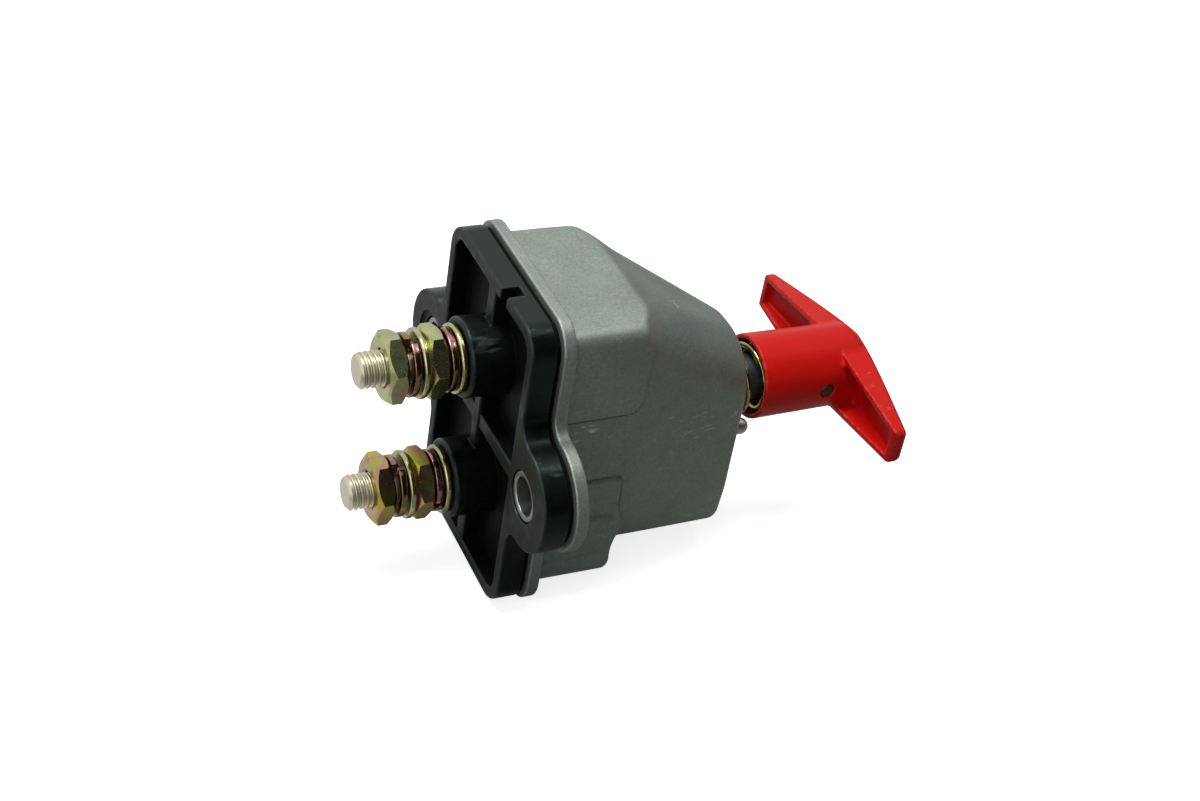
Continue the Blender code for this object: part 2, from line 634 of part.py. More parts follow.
def stud_head_mesh(name):
    ring = [math.pi / 2 + 2 * math.pi * step / 6 for step in range(6)]
    corner = STUD_HEAD_ACROSS_FLATS / 2 / math.cos(math.pi / 6)
    outline = [(corner * math.cos(angle), corner * math.sin(angle)) for angle in ring]
    return loft_mesh(name, [at_height(outline, STUD_HEAD_REAR_Y), at_height(outline, CONTACT_Y)])


def make_terminal(end, z, stud_metal, plated_steel):
    """One stud with its two nuts, two lock washers and two flat washers."""
    stud = make_object(f"stud_{end}", stud_mesh(f"stud_{end}"), stud_metal, place=(0.0, 0.0, z))
    join(stud, stud_head_mesh(f"stud_{end}_head"))
    bore = STUD_HOLE_RADIUS
    y = BOSS_HEIGHT
    for place, rise in (("inner", INNER_LOCK_RISE), ("outer", OUTER_LOCK_RISE)):
        y += SEAT_GAP
        washer = ring_mesh(
            f"flat_washer_{place}_{end}", bore, FLAT_WASHER_DIAMETER / 2, FLAT_WASHER_THICKNESS, 0.0, 32
        )
        make_object(washer.name, washer, plated_steel, place=(0.0, y, z))
        y += FLAT_WASHER_THICKNESS + SEAT_GAP
        lock = split_ring_mesh(
            f"lock_washer_{place}_{end}",
            bore,
            LOCK_WASHER_DIAMETER / 2,
            LOCK_WASHER_THICKNESS,
            rise,
            LOCK_WASHER_SPLIT,
            28,
        )
        lock_washer = make_object(lock.name, lock, plated_steel, place=(0.0, y, z))
        lock_washer.rotation_euler = (0.0, LOCK_WASHER_TURNS[f"{place}_{end}"], 0.0)
        y += LOCK_WASHER_THICKNESS + rise + SEAT_GAP
        nut_object = make_object(f"nut_{place}_{end}", nut_mesh(), plated_steel, place=(0.0, y, z))
        nut_object.rotation_euler = (0.0, NUT_TURNS[f"{place}_{end}"], 0.0)
        y += NUT_THICKNESS


def bar_half_thickness(x):
    share = abs(x) / (BAR_SPAN / 2)
    return (BAR_ROOT_THICKNESS + (BAR_TIP_THICKNESS - BAR_ROOT_THICKNESS) * share) / 2


def bar_crown_y(x):
    """The bar's outer side: highest over the barrel, swept back to the depth left at both tips."""
    drop = BAR_CROWN - BAR_FOOT - BAR_TIP_DEPTH
    reach = math.hypot(BAR_SPAN / 2, BAR_SWEEP_BLEND) - BAR_SWEEP_BLEND
    return MOUTH_Y - BAR_CROWN + drop / reach * (math.hypot(x, BAR_SWEEP_BLEND) - BAR_SWEEP_BLEND)


def bar_section(x, inset, foot_y, crown_y):
    """A rounded cross-section of the T-bar in the YZ plane."""
    half = bar_half_thickness(x) - inset
    low = crown_y + inset
    high = foot_y - inset
    radius = max(BAR_EDGE_ROUND - inset, BASE_EDGE_ROUND)
    return [(x, y, z) for z, y in rounded_outline(half, low, high, radius, BASE_EDGE_ROUND, 2)]


def bar_mesh():
    tip = BAR_SPAN / 2
    stations = [(tip, BAR_TIP_ROUND)]
    stations.append((tip - BAR_TIP_ROUND / 2, BAR_TIP_ROUND / 4))
    stations.append((tip - BAR_TIP_ROUND, 0.0))
    for share in (0.6, 0.34, 0.16, 0.06):
        stations.append((tip * share, 0.0))
    stations += [(-x, inset) for x, inset in reversed(stations)]
    foot_y = MOUTH_Y - BAR_FOOT
    return loft_mesh("handle_bar", [bar_section(x, inset, foot_y, bar_crown_y(x)) for x, inset in stations])


def channel_mesh(side, sign):
    """The hollow of one arm, open towards the housing."""
    root = CHANNEL_ROOT
    tip = BAR_SPAN / 2 - CHANNEL_WALL - BAR_TIP_ROUND / 2
    loops = []
    for step in range(4):
        x = sign * (root + (tip - root) * step / 3)
        half = bar_half_thickness(x) - CHANNEL_WALL
        floor_y = bar_crown_y(x) + CHANNEL_WEB
        mouth_y = MOUTH_Y - BAR_FOOT + CUT_PAST
        outline = rounded_outline(half, floor_y, mouth_y, BASE_EDGE_ROUND, BASE_EDGE_ROUND, 1)
        loops.append([(x, y, z) for z, y in outline])
    return loft_mesh(f"handle_{side}_channel", loops)


def make_handle(material, frame):
    """Red moulded T-handle: hollow barrel and two channelled arms."""
    mouth = BARREL_MOUTH_DIAMETER / 2
    root = BARREL_ROOT_DIAMETER / 2
    far_y = MOUTH_Y - BARREL_LENGTH
    profile = [
        (mouth - BARREL_EDGE_ROUND, MOUTH_Y),
        (mouth, MOUTH_Y - BARREL_EDGE_ROUND),
        (root, MOUTH_Y - BAR_FOOT),
        (root - 2 * BAR_EDGE_ROUND, far_y),
    ]
    handle = make_object("t_handle", turned_mesh("t_handle", profile, 28), material, frame)
    join(handle, bar_mesh())
    bore_radius = mouth - BARREL_WALL
    cut(handle, rod_mesh("handle_spring_bore", bore_radius, MOUTH_Y + CUT_PAST, SPRING_STOP_Y, 28))
    bore_end_y = SHAFT_END_Y - SEAT_GAP
    cut(handle, rod_mesh("handle_shaft_bore", SHAFT_HOLE_RADIUS, MOUTH_Y, bore_end_y, 24))
    cut(handle, channel_mesh("left", 1.0))
    cut(handle, channel_mesh("right", -1.0))
    pin_hole = cross_rod_mesh("handle_pin_bore", HANDLE_PIN_HOLE_RADIUS, BARREL_MOUTH_DIAMETER, 8)
    cut(handle, pin_hole, (0.0, HANDLE_PIN_Y, 0.0), (math.pi / 8, 0.0, 0.0))


def make_shaft(material, frame):
    groove_radius = JOURNAL_RADIUS - CLIP_THICKNESS
    clip_rear_y = CLIP_FRONT_Y + CLIP_THICKNESS
    end_y = clip_rear_y + JOURNAL_BEYOND_CLIP
    profile = [
        (JOURNAL_RADIUS, end_y),
        (JOURNAL_RADIUS, clip_rear_y + RUNNING_CLEARANCE),
        (groove_radius, clip_rear_y + RUNNING_CLEARANCE),
        (groove_radius, CLIP_FRONT_Y - RUNNING_CLEARANCE),
        (JOURNAL_RADIUS, CLIP_FRONT_Y - RUNNING_CLEARANCE),
        (JOURNAL_RADIUS, SHOULDER_Y),
        (SHAFT_RADIUS, SHOULDER_Y),
        (SHAFT_RADIUS, SHAFT_END_Y),
    ]
    shaft = make_object("shaft", turned_mesh("shaft", profile, 32), material, frame)
    handle_hole = cross_rod_mesh("shaft_handle_pin_hole", HANDLE_PIN_HOLE_RADIUS, SHAFT_DIAMETER, 16)
    cut(shaft, handle_hole, (0.0, HANDLE_PIN_Y, 0.0))
    cam_hole = cross_rod_mesh("shaft_cam_pin_hole", CAM_PIN_HOLE_RADIUS, SHAFT_DIAMETER, 16)
    cut(shaft, cam_hole, (0.0, CAM_PIN_Y, 0.0))


def make_shaft_pins(pin_steel, frame):
    barrel_here = BARREL_ROOT_DIAMETER / 2
    handle_pin = cross_rod_mesh("handle_pin", HANDLE_PIN_DIAMETER / 2, barrel_here - RUNNING_CLEARANCE, 16)
    make_object("handle_pin", handle_pin, pin_steel, frame, (0.0, HANDLE_PIN_Y, 0.0))
    cam_pin = cross_rod_mesh("cam_pin", CAM_PIN_DIAMETER / 2, CAM_PIN_LENGTH / 2, 16)
    make_object("cam_pin", cam_pin, pin_steel, frame, (0.0, CAM_PIN_Y, 0.0))
    clip = split_ring_mesh(
        "carrier_clip",
        JOURNAL_RADIUS - CLIP_THICKNESS + RUNNING_CLEARANCE,
        CLIP_DIAMETER / 2,
        CLIP_THICKNESS,
        0.0,
        CLIP_OPENING,
        20,
    )
    make_object("carrier_clip", clip, pin_steel, frame, (0.0, CLIP_FRONT_Y, 0.0))


def make_shaft_bearing(bronze, rubber, steel):
    """The bush, the O-ring and the washer that the return spring pushes on."""
    bush_rear_y = CAM_SEAT_Y - SEAT_GAP
    bush_front_y = bush_rear_y - BUSH_LENGTH
    bush = ring_mesh("shaft_bush", SHAFT_HOLE_RADIUS, BUSH_DIAMETER / 2, bush_rear_y, bush_front_y, 32)
    make_object("shaft_bush", bush, bronze)
    section = SEAL_SECTION / 2
    middle = SHAFT_HOLE_RADIUS + section
    ring = [2 * math.pi * step / 8 for step in range(8)]
    seal_profile = [(middle + section * math.cos(angle), section * math.sin(angle)) for angle in ring]
    seal_y = bush_front_y - SEAT_GAP - section
    seal = turned_ring_mesh("shaft_seal", seal_profile, 28)
    make_object("shaft_seal", seal, rubber, place=(0.0, seal_y, 0.0))
    seat = ring_mesh(
        "spring_seat", SHAFT_HOLE_RADIUS, SPRING_SEAT_DIAMETER / 2, SPRING_SEAT_REAR_Y, NOSE_FRONT_Y, 32
    )
    make_object("spring_seat", seat, steel)


def straight_end(before, last):
    """A point one wire diameter past the last one, straight on and square to the axis."""
    run_x = last[0] - before[0]
    run_z = last[2] - before[2]
    stretch = SPRING_WIRE / math.hypot(run_x, run_z)
    return (last[0] + run_x * stretch, last[1], last[2] + run_z * stretch)


def spring_points():
    """Centre line of the return spring: closed end turns, open turns between them, straight ends."""
    radius = (SPRING_OUTER_DIAMETER - SPRING_WIRE) / 2
    first_y = NOSE_FRONT_Y - SEAT_GAP - SPRING_WIRE / 2
    last_y = SPRING_STOP_Y + SEAT_GAP + SPRING_WIRE / 2
    active_length = first_y - last_y - 2 * SPRING_END_PITCH
    turns = SPRING_ACTIVE_TURNS + 2
    steps = round(turns * SPRING_POINTS_PER_TURN)
    points = []
    for step in range(steps + 1):
        turn = turns * step / steps
        opened = min(max(turn - 1.0, 0.0), SPRING_ACTIVE_TURNS)
        closed = min(turn, 1.0) + max(turn - 1.0 - SPRING_ACTIVE_TURNS, 0.0)
        y = first_y - closed * SPRING_END_PITCH - opened / SPRING_ACTIVE_TURNS * active_length
        angle = SPRING_START_ANGLE + 2 * math.pi * turn
        points.append((radius * math.cos(angle), y, radius * math.sin(angle)))
    return [straight_end(points[1], points[0])] + points + [straight_end(points[-2], points[-1])]


def least_self_gap(points, wire, neighbours):
    """Least clear distance between stretches of the wire that aren't next to each other."""
    least = math.inf
    for first, a in enumerate(points):
        for b in points[first + neighbours :]:
            least = min(least, math.dist(a, b) - wire)
    return least


def make_return_spring(material):
    points = spring_points()
    curve = bpy.data.curves.new("return_spring", "CURVE")
    curve.dimensions = "3D"
    curve.bevel_depth = SPRING_WIRE / 2
    curve.bevel_resolution = 1
    curve.use_fill_caps = True
    spline = curve.splines.new("POLY")
    spline.points.add(len(points) - 1)
    for place, point in zip(spline.points, points):
        place.co = (*point, 1.0)
    spring = bpy.data.objects.new("return_spring", curve)
    curve.materials.append(material)
    bpy.context.scene.collection.objects.link(spring)
    gap = least_self_gap(points, SPRING_WIRE, SPRING_POINTS_PER_TURN // 2)
    print(f"return_spring least self gap {gap / MM:.2f} mm")


def cam_height(angle):
    """Height of the cam's track: a ramp over the turn, a rest at its top, then a stop lug."""
    turned = -angle % math.pi
    ramp_end = HANDLE_TURN
    pin_room = math.asin(CAM_PIN_DIAMETER / SHAFT_DIAMETER) + math.radians(2)
    if turned <= ramp_end:
        return HANDLE_TRAVEL * turned / ramp_end
    if turned < ramp_end + pin_room:
        return HANDLE_TRAVEL
    if turned > math.pi - pin_room:
        return 0.0
    return CAM_LUG_HEIGHT


def make_cam(material, dowel_metal):
    """The fixed cam ring in the nose, and the dowel that keeps it from turning."""
    inner = SHAFT_HOLE_RADIUS
    outer = CAM_DIAMETER / 2
    front_y = CAM_SEAT_Y + SEAT_GAP
    steps = 96
    loops = []
    for step in range(steps):
        angle = 2 * math.pi * (step + 0.5) / steps
        track_y = CAM_REAR_Y + cam_height(angle)
        profile = [(inner, front_y), (outer, front_y), (outer, track_y), (inner, track_y)]
        loops.append([(r * math.cos(angle), y, r * math.sin(angle)) for r, y in profile])
    cam = make_object("cam_ring", loft_mesh("cam_ring", loops, closed=True), material)
    hole_end_y = front_y + DOWEL_DEPTH_IN_CAM + SEAT_GAP
    hole = rod_mesh("cam_dowel_hole", DOWEL_HOLE_RADIUS, hole_end_y, front_y - CUT_PAST, 12)
    cut(cam, hole, (DOWEL_X, 0.0, DOWEL_Z))
    shank = DOWEL_DIAMETER / 2
    head = DOWEL_HEAD_DIAMETER / 2
    seat_y = NOSE_FRONT_Y - SEAT_GAP
    profile = [(shank, front_y + DOWEL_DEPTH_IN_CAM), (shank, seat_y), (head, seat_y)]
    for turn in (0.0, math.pi / 6, math.pi / 3, math.pi / 2.3):
        dome_y = seat_y - DOWEL_HEAD_HEIGHT + head * (1 - math.sin(turn))
        profile.append((head * math.cos(turn), dome_y))
    dowel = turned_mesh("cam_dowel", profile, 16)
    make_object("cam_dowel", dowel, dowel_metal, place=(DOWEL_X, 0.0, DOWEL_Z))


def make_bridge(copper, spring_steel, insulator, frame):
    """The contact bridge, the leaf spring behind it and the carrier that slides in the housing."""
    half = BRIDGE_LENGTH / 2
    corner = BRIDGE_CORNER_RADIUS
    bar_outline = rounded_outline(BRIDGE_WIDTH / 2, -half, half, corner, corner, 3)
    loops = [at_height(bar_outline, BRIDGE_REAR_Y), at_height(bar_outline, BRIDGE_FRONT_Y)]
    bridge = make_object("contact_bridge", loft_mesh("contact_bridge", loops), copper, frame)
    pad_root_y = (BRIDGE_REAR_Y + BRIDGE_FRONT_Y) / 2
    for end, z in (("upper", STUD_Z), ("lower", -STUD_Z)):
        pad = rod_mesh(f"bridge_{end}_pad", CONTACT_PAD_DIAMETER / 2, PAD_Y, pad_root_y, 20)
        join(bridge, pad, (0.0, 0.0, z))
    hole = rod_mesh("bridge_journal_hole", JOURNAL_HOLE_RADIUS, PAD_Y, CARRIER_FRONT_Y, 24)
    cut(bridge, hole)
    leaf_loops = []
    for step in range(9):
        share = 2 * step / 8 - 1
        z = share * LEAF_LENGTH / 2
        low = CARRIER_REAR_Y + SEAT_GAP + LEAF_BOW * share**2
        high = low + LEAF_THICKNESS
        w = LEAF_WIDTH / 2
        leaf_loops.append([(w, low, z), (w, high, z), (-w, high, z), (-w, low, z)])
    leaf = make_object("contact_spring", loft_mesh("contact_spring", leaf_loops), spring_steel, frame)
    cut(leaf, rod_mesh("leaf_journal_hole", JOURNAL_HOLE_RADIUS, PAD_Y, CARRIER_FRONT_Y, 24))
    guide_x = BLOCK_WIDTH / 2 - HOUSING_WALL - SEAT_GAP
    carrier_outline = rounded_outline(guide_x, -CARRIER_HEIGHT / 2, CARRIER_HEIGHT / 2, corner, corner, 3)
    carrier_loops = [at_height(carrier_outline, y) for y in (CARRIER_REAR_Y, CARRIER_FRONT_Y)]
    carrier = make_object("bridge_carrier", loft_mesh("bridge_carrier", carrier_loops), insulator, frame)
    past_carrier_y = CARRIER_FRONT_Y - CUT_PAST
    cut(carrier, rod_mesh("carrier_journal_hole", JOURNAL_HOLE_RADIUS, PAD_Y, past_carrier_y, 24))


def main():
    clear_scene()
    cast_aluminium = make_material("cast_aluminium", (0.30, 0.31, 0.29), 0.45, 0.85)
    black_plastic = make_material("black_plastic", (0.016, 0.018, 0.018), 0.42, 0.0)
    red_plastic = make_material("red_plastic", (0.62, 0.02, 0.015), 0.35, 0.0)
    yellow_zinc = make_material("yellow_zinc", (0.52, 0.46, 0.20), 0.30, 1.0)
    plated_copper = make_material("plated_copper", (0.62, 0.58, 0.48), 0.32, 1.0)
    bright_steel = make_material("bright_steel", (0.55, 0.56, 0.55), 0.30, 1.0)
    dark_steel = make_material("dark_steel", (0.10, 0.10, 0.10), 0.45, 0.9)
    shaft_steel = make_material("shaft_steel", (0.32, 0.34, 0.35), 0.35, 1.0)
    rubber = make_material("rubber", (0.01, 0.01, 0.01), 0.8, 0.0)
    bronze = make_material("bronze", (0.40, 0.25, 0.11), 0.40, 1.0)
    copper = make_material("copper", (0.72, 0.32, 0.18), 0.30, 1.0)
    insulator = make_material("insulator", (0.05, 0.035, 0.025), 0.55, 0.0)

    bridge_frame = make_frame("bridge_frame", (0.0, 0.0, 0.0))
    handle_frame = make_frame("handle_frame", (0.0, 0.0, 0.0), bridge_frame)

    make_housing(cast_aluminium)
    make_base(black_plastic)
    make_gasket(rubber)
    make_sleeves(bright_steel)
    make_terminal("upper", STUD_Z, plated_copper, yellow_zinc)
    make_terminal("lower", -STUD_Z, plated_copper, yellow_zinc)
    make_handle(red_plastic, handle_frame)
    make_shaft(shaft_steel, handle_frame)
    make_shaft_pins(dark_steel, handle_frame)
    make_shaft_bearing(bronze, rubber, bright_steel)
    make_return_spring(yellow_zinc)
    make_cam(dark_steel, bright_steel)
    make_bridge(copper, bright_steel, insulator, bridge_frame)


main()
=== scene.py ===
# Battery isolating switch with a red T-handle: the looks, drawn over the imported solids.
import math

import bmesh
import bpy
import numpy as np
from mathutils import Matrix, Vector


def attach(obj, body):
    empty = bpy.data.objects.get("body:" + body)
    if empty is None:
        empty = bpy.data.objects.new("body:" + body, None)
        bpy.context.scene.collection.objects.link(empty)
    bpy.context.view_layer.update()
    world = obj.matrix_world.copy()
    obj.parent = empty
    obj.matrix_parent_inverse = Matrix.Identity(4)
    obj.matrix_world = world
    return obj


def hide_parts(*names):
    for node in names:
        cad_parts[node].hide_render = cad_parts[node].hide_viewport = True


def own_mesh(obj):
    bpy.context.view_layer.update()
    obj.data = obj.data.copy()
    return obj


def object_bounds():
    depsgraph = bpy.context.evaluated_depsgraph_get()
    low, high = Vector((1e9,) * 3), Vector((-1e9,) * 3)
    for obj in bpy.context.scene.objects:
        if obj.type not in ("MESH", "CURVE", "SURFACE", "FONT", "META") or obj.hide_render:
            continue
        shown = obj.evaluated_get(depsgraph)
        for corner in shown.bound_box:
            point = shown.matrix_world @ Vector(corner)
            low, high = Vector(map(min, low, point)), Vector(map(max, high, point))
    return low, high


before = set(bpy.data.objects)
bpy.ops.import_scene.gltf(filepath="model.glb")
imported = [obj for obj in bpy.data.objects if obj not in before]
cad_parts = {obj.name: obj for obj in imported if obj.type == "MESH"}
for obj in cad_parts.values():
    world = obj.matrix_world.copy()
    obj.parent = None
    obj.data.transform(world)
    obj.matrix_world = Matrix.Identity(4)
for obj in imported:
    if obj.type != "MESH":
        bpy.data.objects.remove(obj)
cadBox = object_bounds()
print("frame loaded:", len(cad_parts), "nodes")

mm = 0.001


# Small tools that every piece uses

def hexColour(text):
    channels = [int(text[i:i + 2], 16) / 255 for i in (1, 3, 5)]
    linear = [c / 12.92 if c <= 0.04045 else ((c + 0.055) / 1.055) ** 2.4 for c in channels]
    return (*linear, 1.0)


def perMm(size):
    return 1000.0 / size  # texture scale on Object coordinates for a grain of this many mm


def addNode(tree, kind, links, **settings):
    node = tree.nodes.new(kind)
    for name, value in settings.items():
        setattr(node, name, value)
    for name, value in links.items():
        if isinstance(value, bpy.types.NodeSocket):
            tree.links.new(value, node.inputs[name])
        else:
            node.inputs[name].default_value = value
    return node


def newMaterial(name):
    material = bpy.data.materials.new(name)
    material.use_nodes = True
    tree = material.node_tree
    return material, tree, tree.nodes["Principled BSDF"]


def startFinish(name, look, **details):
    # a material on Object coordinates with one noise for each of these grains, sized in mm by the look
    material, tree, shader = newMaterial(name)
    place = addNode(tree, "ShaderNodeTexCoord", {}).outputs["Object"]
    noises = [addNode(tree, "ShaderNodeTexNoise", {
        "Vector": place, "Scale": perMm(look[f"{grain}Mm"]), "Detail": detail}).outputs["Fac"]
        for grain, detail in details.items()]
    return material, tree, shader, place, noises


def linkLook(tree, shader, colour, roughness, normal):
    for name, socket in (("Base Color", colour), ("Roughness", roughness), ("Normal", normal)):
        tree.links.new(socket, shader.inputs[name])


def bakedMesh(piece, name):
    depsgraph = bpy.context.evaluated_depsgraph_get()
    mesh = bpy.data.meshes.new_from_object(piece.evaluated_get(depsgraph), depsgraph=depsgraph)
    mesh.name = name
    return mesh


def linkPiece(name, mesh):
    piece = bpy.data.objects.new(name, mesh)
    bpy.context.scene.collection.objects.link(piece)
    return piece


def dress(piece, material, body, slot, *nodes):
    piece.data.materials.clear()
    piece.data.materials.append(material)
    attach(piece, body)
    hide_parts(*nodes)


# Materials

scuffStreak = {  # the noise is stretched to streaks, lifted near a mark, and shows from one level to the other
    "stretch": (1.0, 0.22, 1.0), "detail": 4.0, "lift": 0.17, "from": 0.61, "full": 0.69,
}


def scuffMarks(tree, place, look):
    # short pale streaks that gather at the listed spots and are rare elsewhere
    s = scuffStreak
    streaks = addNode(tree, "ShaderNodeMapping", {
        "Vector": place, "Rotation": look["scuffTurn"], "Scale": s["stretch"]})
    scratch = addNode(tree, "ShaderNodeTexNoise", {
        "Vector": streaks.outputs["Vector"], "Scale": perMm(look["scuffMm"]), "Detail": s["detail"]})
    marks = 0.0
    for x, y, z, reach, strength in look["scuffs"]:
        away = addNode(tree, "ShaderNodeVectorMath", {
            0: place, 1: (x * mm, y * mm, z * mm)}, operation="DISTANCE")
        near = addNode(tree, "ShaderNodeMapRange", {
            "Value": away.outputs["Value"], "From Max": reach * mm, "To Min": strength, "To Max": 0.0})
        marks = addNode(tree, "ShaderNodeMath", {
            0: marks, 1: near.outputs["Result"]}, operation="MAXIMUM").outputs[0]
    lifted = addNode(tree, "ShaderNodeMath", {
        0: marks, 1: s["lift"], 2: scratch.outputs["Fac"]}, operation="MULTIPLY_ADD")
    thin = addNode(tree, "ShaderNodeMapRange", {
        "Value": lifted.outputs[0], "From Min": s["from"], "From Max": s["full"]})
    shown = addNode(tree, "ShaderNodeMath", {0: marks, 1: look["scuffAll"]}, operation="ADD", use_clamp=True)
    return addNode(tree, "ShaderNodeMath", {
        0: thin.outputs["Result"], 1: shown.outputs[0]}, operation="MULTIPLY").outputs[0]


def castAluminium(look):
    # Die-cast aluminium, shot blasted: satin grey with a fine sparkle of pits, cloudy patches
    # where the melt met the die, pale rubs along its edges, and painted shade in its creases
    material, tree, shader, place, (cloud, grain) = startFinish("castAluminium", look, cloud=4.0, grain=3.0)
    speck = addNode(tree, "ShaderNodeTexVoronoi", {"Vector": place, "Scale": perMm(look["speckMm"])})
    cloudy = addNode(tree, "ShaderNodeValToRGB", {"Fac": cloud})
    for element, position, tone in zip(cloudy.color_ramp.elements, look["cloudBand"], ("dark", "pale")):
        element.position = position
        element.color = hexColour(look[tone])
    grainy = addNode(tree, "ShaderNodeMapRange", {
        "Value": grain, "From Min": 0.3, "From Max": 0.7, "To Min": 0.82, "To Max": 1.16})
    tinted = addNode(tree, "ShaderNodeMix", {
        0: 1.0, 6: cloudy.outputs["Color"], 7: grainy.outputs["Result"]}, data_type="RGBA", blend_type="MULTIPLY")
    edge = addNode(tree, "ShaderNodeAttribute", {}, attribute_name="edge")
    rubbed = addNode(tree, "ShaderNodeMapRange", {
        "Value": edge.outputs["Fac"], "From Min": 0.3, "From Max": 0.9, "To Min": 0.0, "To Max": look["edgeRub"]})
    worn = addNode(tree, "ShaderNodeMix", {
        0: rubbed.outputs["Result"], 6: tinted.outputs[2], 7: hexColour(look["rub"])}, data_type="RGBA")
    # painted shade: concave creases darken towards a dark grey, standing in for the shadow that falls in them
    crease = addNode(tree, "ShaderNodeMapRange", {
        "Value": edge.outputs["Fac"], "From Min": -0.04, "From Max": -0.5, "To Min": 0.0, "To Max": look["creaseShade"]})
    creaseShaded = addNode(tree, "ShaderNodeMix", {
        0: crease.outputs["Result"], 6: worn.outputs[2], 7: hexColour(look["creaseShadeColour"])}, data_type="RGBA")
    final = addNode(tree, "ShaderNodeMix", {
        0: scuffMarks(tree, place, look), 6: creaseShaded.outputs[2], 7: hexColour(look["rub"])}, data_type="RGBA")
    gloss = addNode(tree, "ShaderNodeMapRange", {
        "Value": cloud, "To Min": look["roughness"] - 0.06, "To Max": look["roughness"] + 0.08})
    pits = addNode(tree, "ShaderNodeBump", {"Strength": look["pitDepth"], "Distance": 0.05 * mm, "Height": grain})
    sparkle = addNode(tree, "ShaderNodeBump", {
        "Strength": look["pitDepth"] * 0.6, "Distance": 0.04 * mm, "Height": speck.outputs["Distance"],
        "Normal": pits.outputs["Normal"]})
    linkLook(tree, shader, final.outputs[2], gloss.outputs["Result"], sparkle.outputs["Normal"])
    shader.inputs["Metallic"].default_value = look["metallic"]
    return material


def mouldedNylon(look):
    # Glass-filled nylon, moulded black: dull sheen from a spark-eroded mould, greyer where
    # edges are rubbed, matt in creases and deep in the tray where nothing polishes it
    material, tree, shader, place, (cloud, grain) = startFinish("mouldedNylon", look, cloud=3.0, grain=2.0)
    cloudy = addNode(tree, "ShaderNodeMix", {
        0: cloud, 6: hexColour(look["dark"]), 7: hexColour(look["pale"])}, data_type="RGBA")
    edge = addNode(tree, "ShaderNodeAttribute", {}, attribute_name="edge")
    broken = addNode(tree, "ShaderNodeMath", {0: edge.outputs["Fac"], 1: cloud}, operation="MULTIPLY")
    rubbed = addNode(tree, "ShaderNodeMapRange", {
        "Value": broken.outputs[0], "From Min": 0.05, "From Max": 0.45, "To Max": look["edgeRub"]})
    worn = addNode(tree, "ShaderNodeMix", {
        0: rubbed.outputs["Result"], 6: cloudy.outputs[2], 7: hexColour(look["rub"])}, data_type="RGBA")
    # pale patches at the listed spots: partly dust, partly painted highlights on the boss tops, the top corner and
    # the ear fillets
    dustAndHighlight = addNode(tree, "ShaderNodeMix", {
        0: scuffMarks(tree, place, look), 6: worn.outputs[2], 7: hexColour(look["rub"])}, data_type="RGBA")
    gloss = addNode(tree, "ShaderNodeMapRange", {
        "Value": cloud, "From Min": 0.3, "From Max": 0.7,
        "To Min": look["roughness"] - 0.09, "To Max": look["roughness"] + 0.09})
    normal = addNode(tree, "ShaderNodeTexCoord", {}).outputs["Normal"]
    square = addNode(tree, "ShaderNodeSeparateXYZ", {0: normal})
    matt = addNode(tree, "ShaderNodeMapRange", {
        "Value": square.outputs["Y"], "From Min": 0.6, "From Max": 0.95, "To Max": look["faceMatt"]})
    rough = addNode(tree, "ShaderNodeMath", {0: gloss.outputs["Result"], 1: matt.outputs["Result"]}, operation="ADD")
    texture = addNode(tree, "ShaderNodeBump", {
        "Strength": look["grainDepth"], "Distance": 0.03 * mm, "Height": grain})
    linkLook(tree, shader, dustAndHighlight.outputs[2], rough.outputs[0], texture.outputs["Normal"])
    crease = addNode(tree, "ShaderNodeMapRange", {
        "Value": edge.outputs["Fac"], "From Min": -0.5, "From Max": -0.05, "To Min": 0.1, "To Max": look["sheen"]})
    recess = addNode(tree, "ShaderNodeAttribute", {}, attribute_name="recess")
    clean = addNode(tree, "ShaderNodeMapRange", {"Value": recess.outputs["Fac"], "To Min": 1.0, "To Max": 0.25})
    sheen = addNode(tree, "ShaderNodeMath", {
        0: crease.outputs["Result"], 1: clean.outputs["Result"]}, operation="MULTIPLY")
    tree.links.new(sheen.outputs[0], shader.inputs["Specular IOR Level"])
    shader.inputs["IOR"].default_value = 1.53
    shader.inputs["Specular Tint"].default_value = hexColour(look["tint"])
    return material


def mouldedAbs(look):
    # ABS, moulded in signal red: even colour with a soft gloss, a faint orange peel,
    # and pale scuffs where the handle's edges have been handled
    material, tree, shader, place, (cloud, peel, nick) = startFinish(
        "mouldedAbs", look, cloud=3.0, peel=1.0, nick=4.0)
    cloudy = addNode(tree, "ShaderNodeMix", {
        0: cloud, 6: hexColour(look["dark"]), 7: hexColour(look["pale"])}, data_type="RGBA")
    edge = addNode(tree, "ShaderNodeAttribute", {}, attribute_name="edge")
    handled = addNode(tree, "ShaderNodeMapRange", {
        "Value": nick, "From Min": 0.46, "From Max": 0.66, "To Max": look["edgeRub"]})
    rubbed = addNode(tree, "ShaderNodeMath", {
        0: edge.outputs["Fac"], 1: handled.outputs["Result"]}, operation="MULTIPLY", use_clamp=True)
    pale = addNode(tree, "ShaderNodeMath", {
        0: rubbed.outputs[0], 1: scuffMarks(tree, place, look)}, operation="MAXIMUM")
    worn = addNode(tree, "ShaderNodeMix", {
        0: pale.outputs[0], 6: cloudy.outputs[2], 7: hexColour(look["rub"])}, data_type="RGBA")
    gloss = addNode(tree, "ShaderNodeMapRange", {
        "Value": cloud, "From Min": 0.3, "From Max": 0.7,
        "To Min": look["roughness"] - 0.05, "To Max": look["roughness"] + 0.05})
    texture = addNode(tree, "ShaderNodeBump", {
        "Strength": look["peelDepth"], "Distance": 0.05 * mm, "Height": peel})
    linkLook(tree, shader, worn.outputs[2], gloss.outputs["Result"], texture.outputs["Normal"])
    shader.inputs["IOR"].default_value = 1.54
    shader.inputs["Specular IOR Level"].default_value = look["sheen"]
    return material


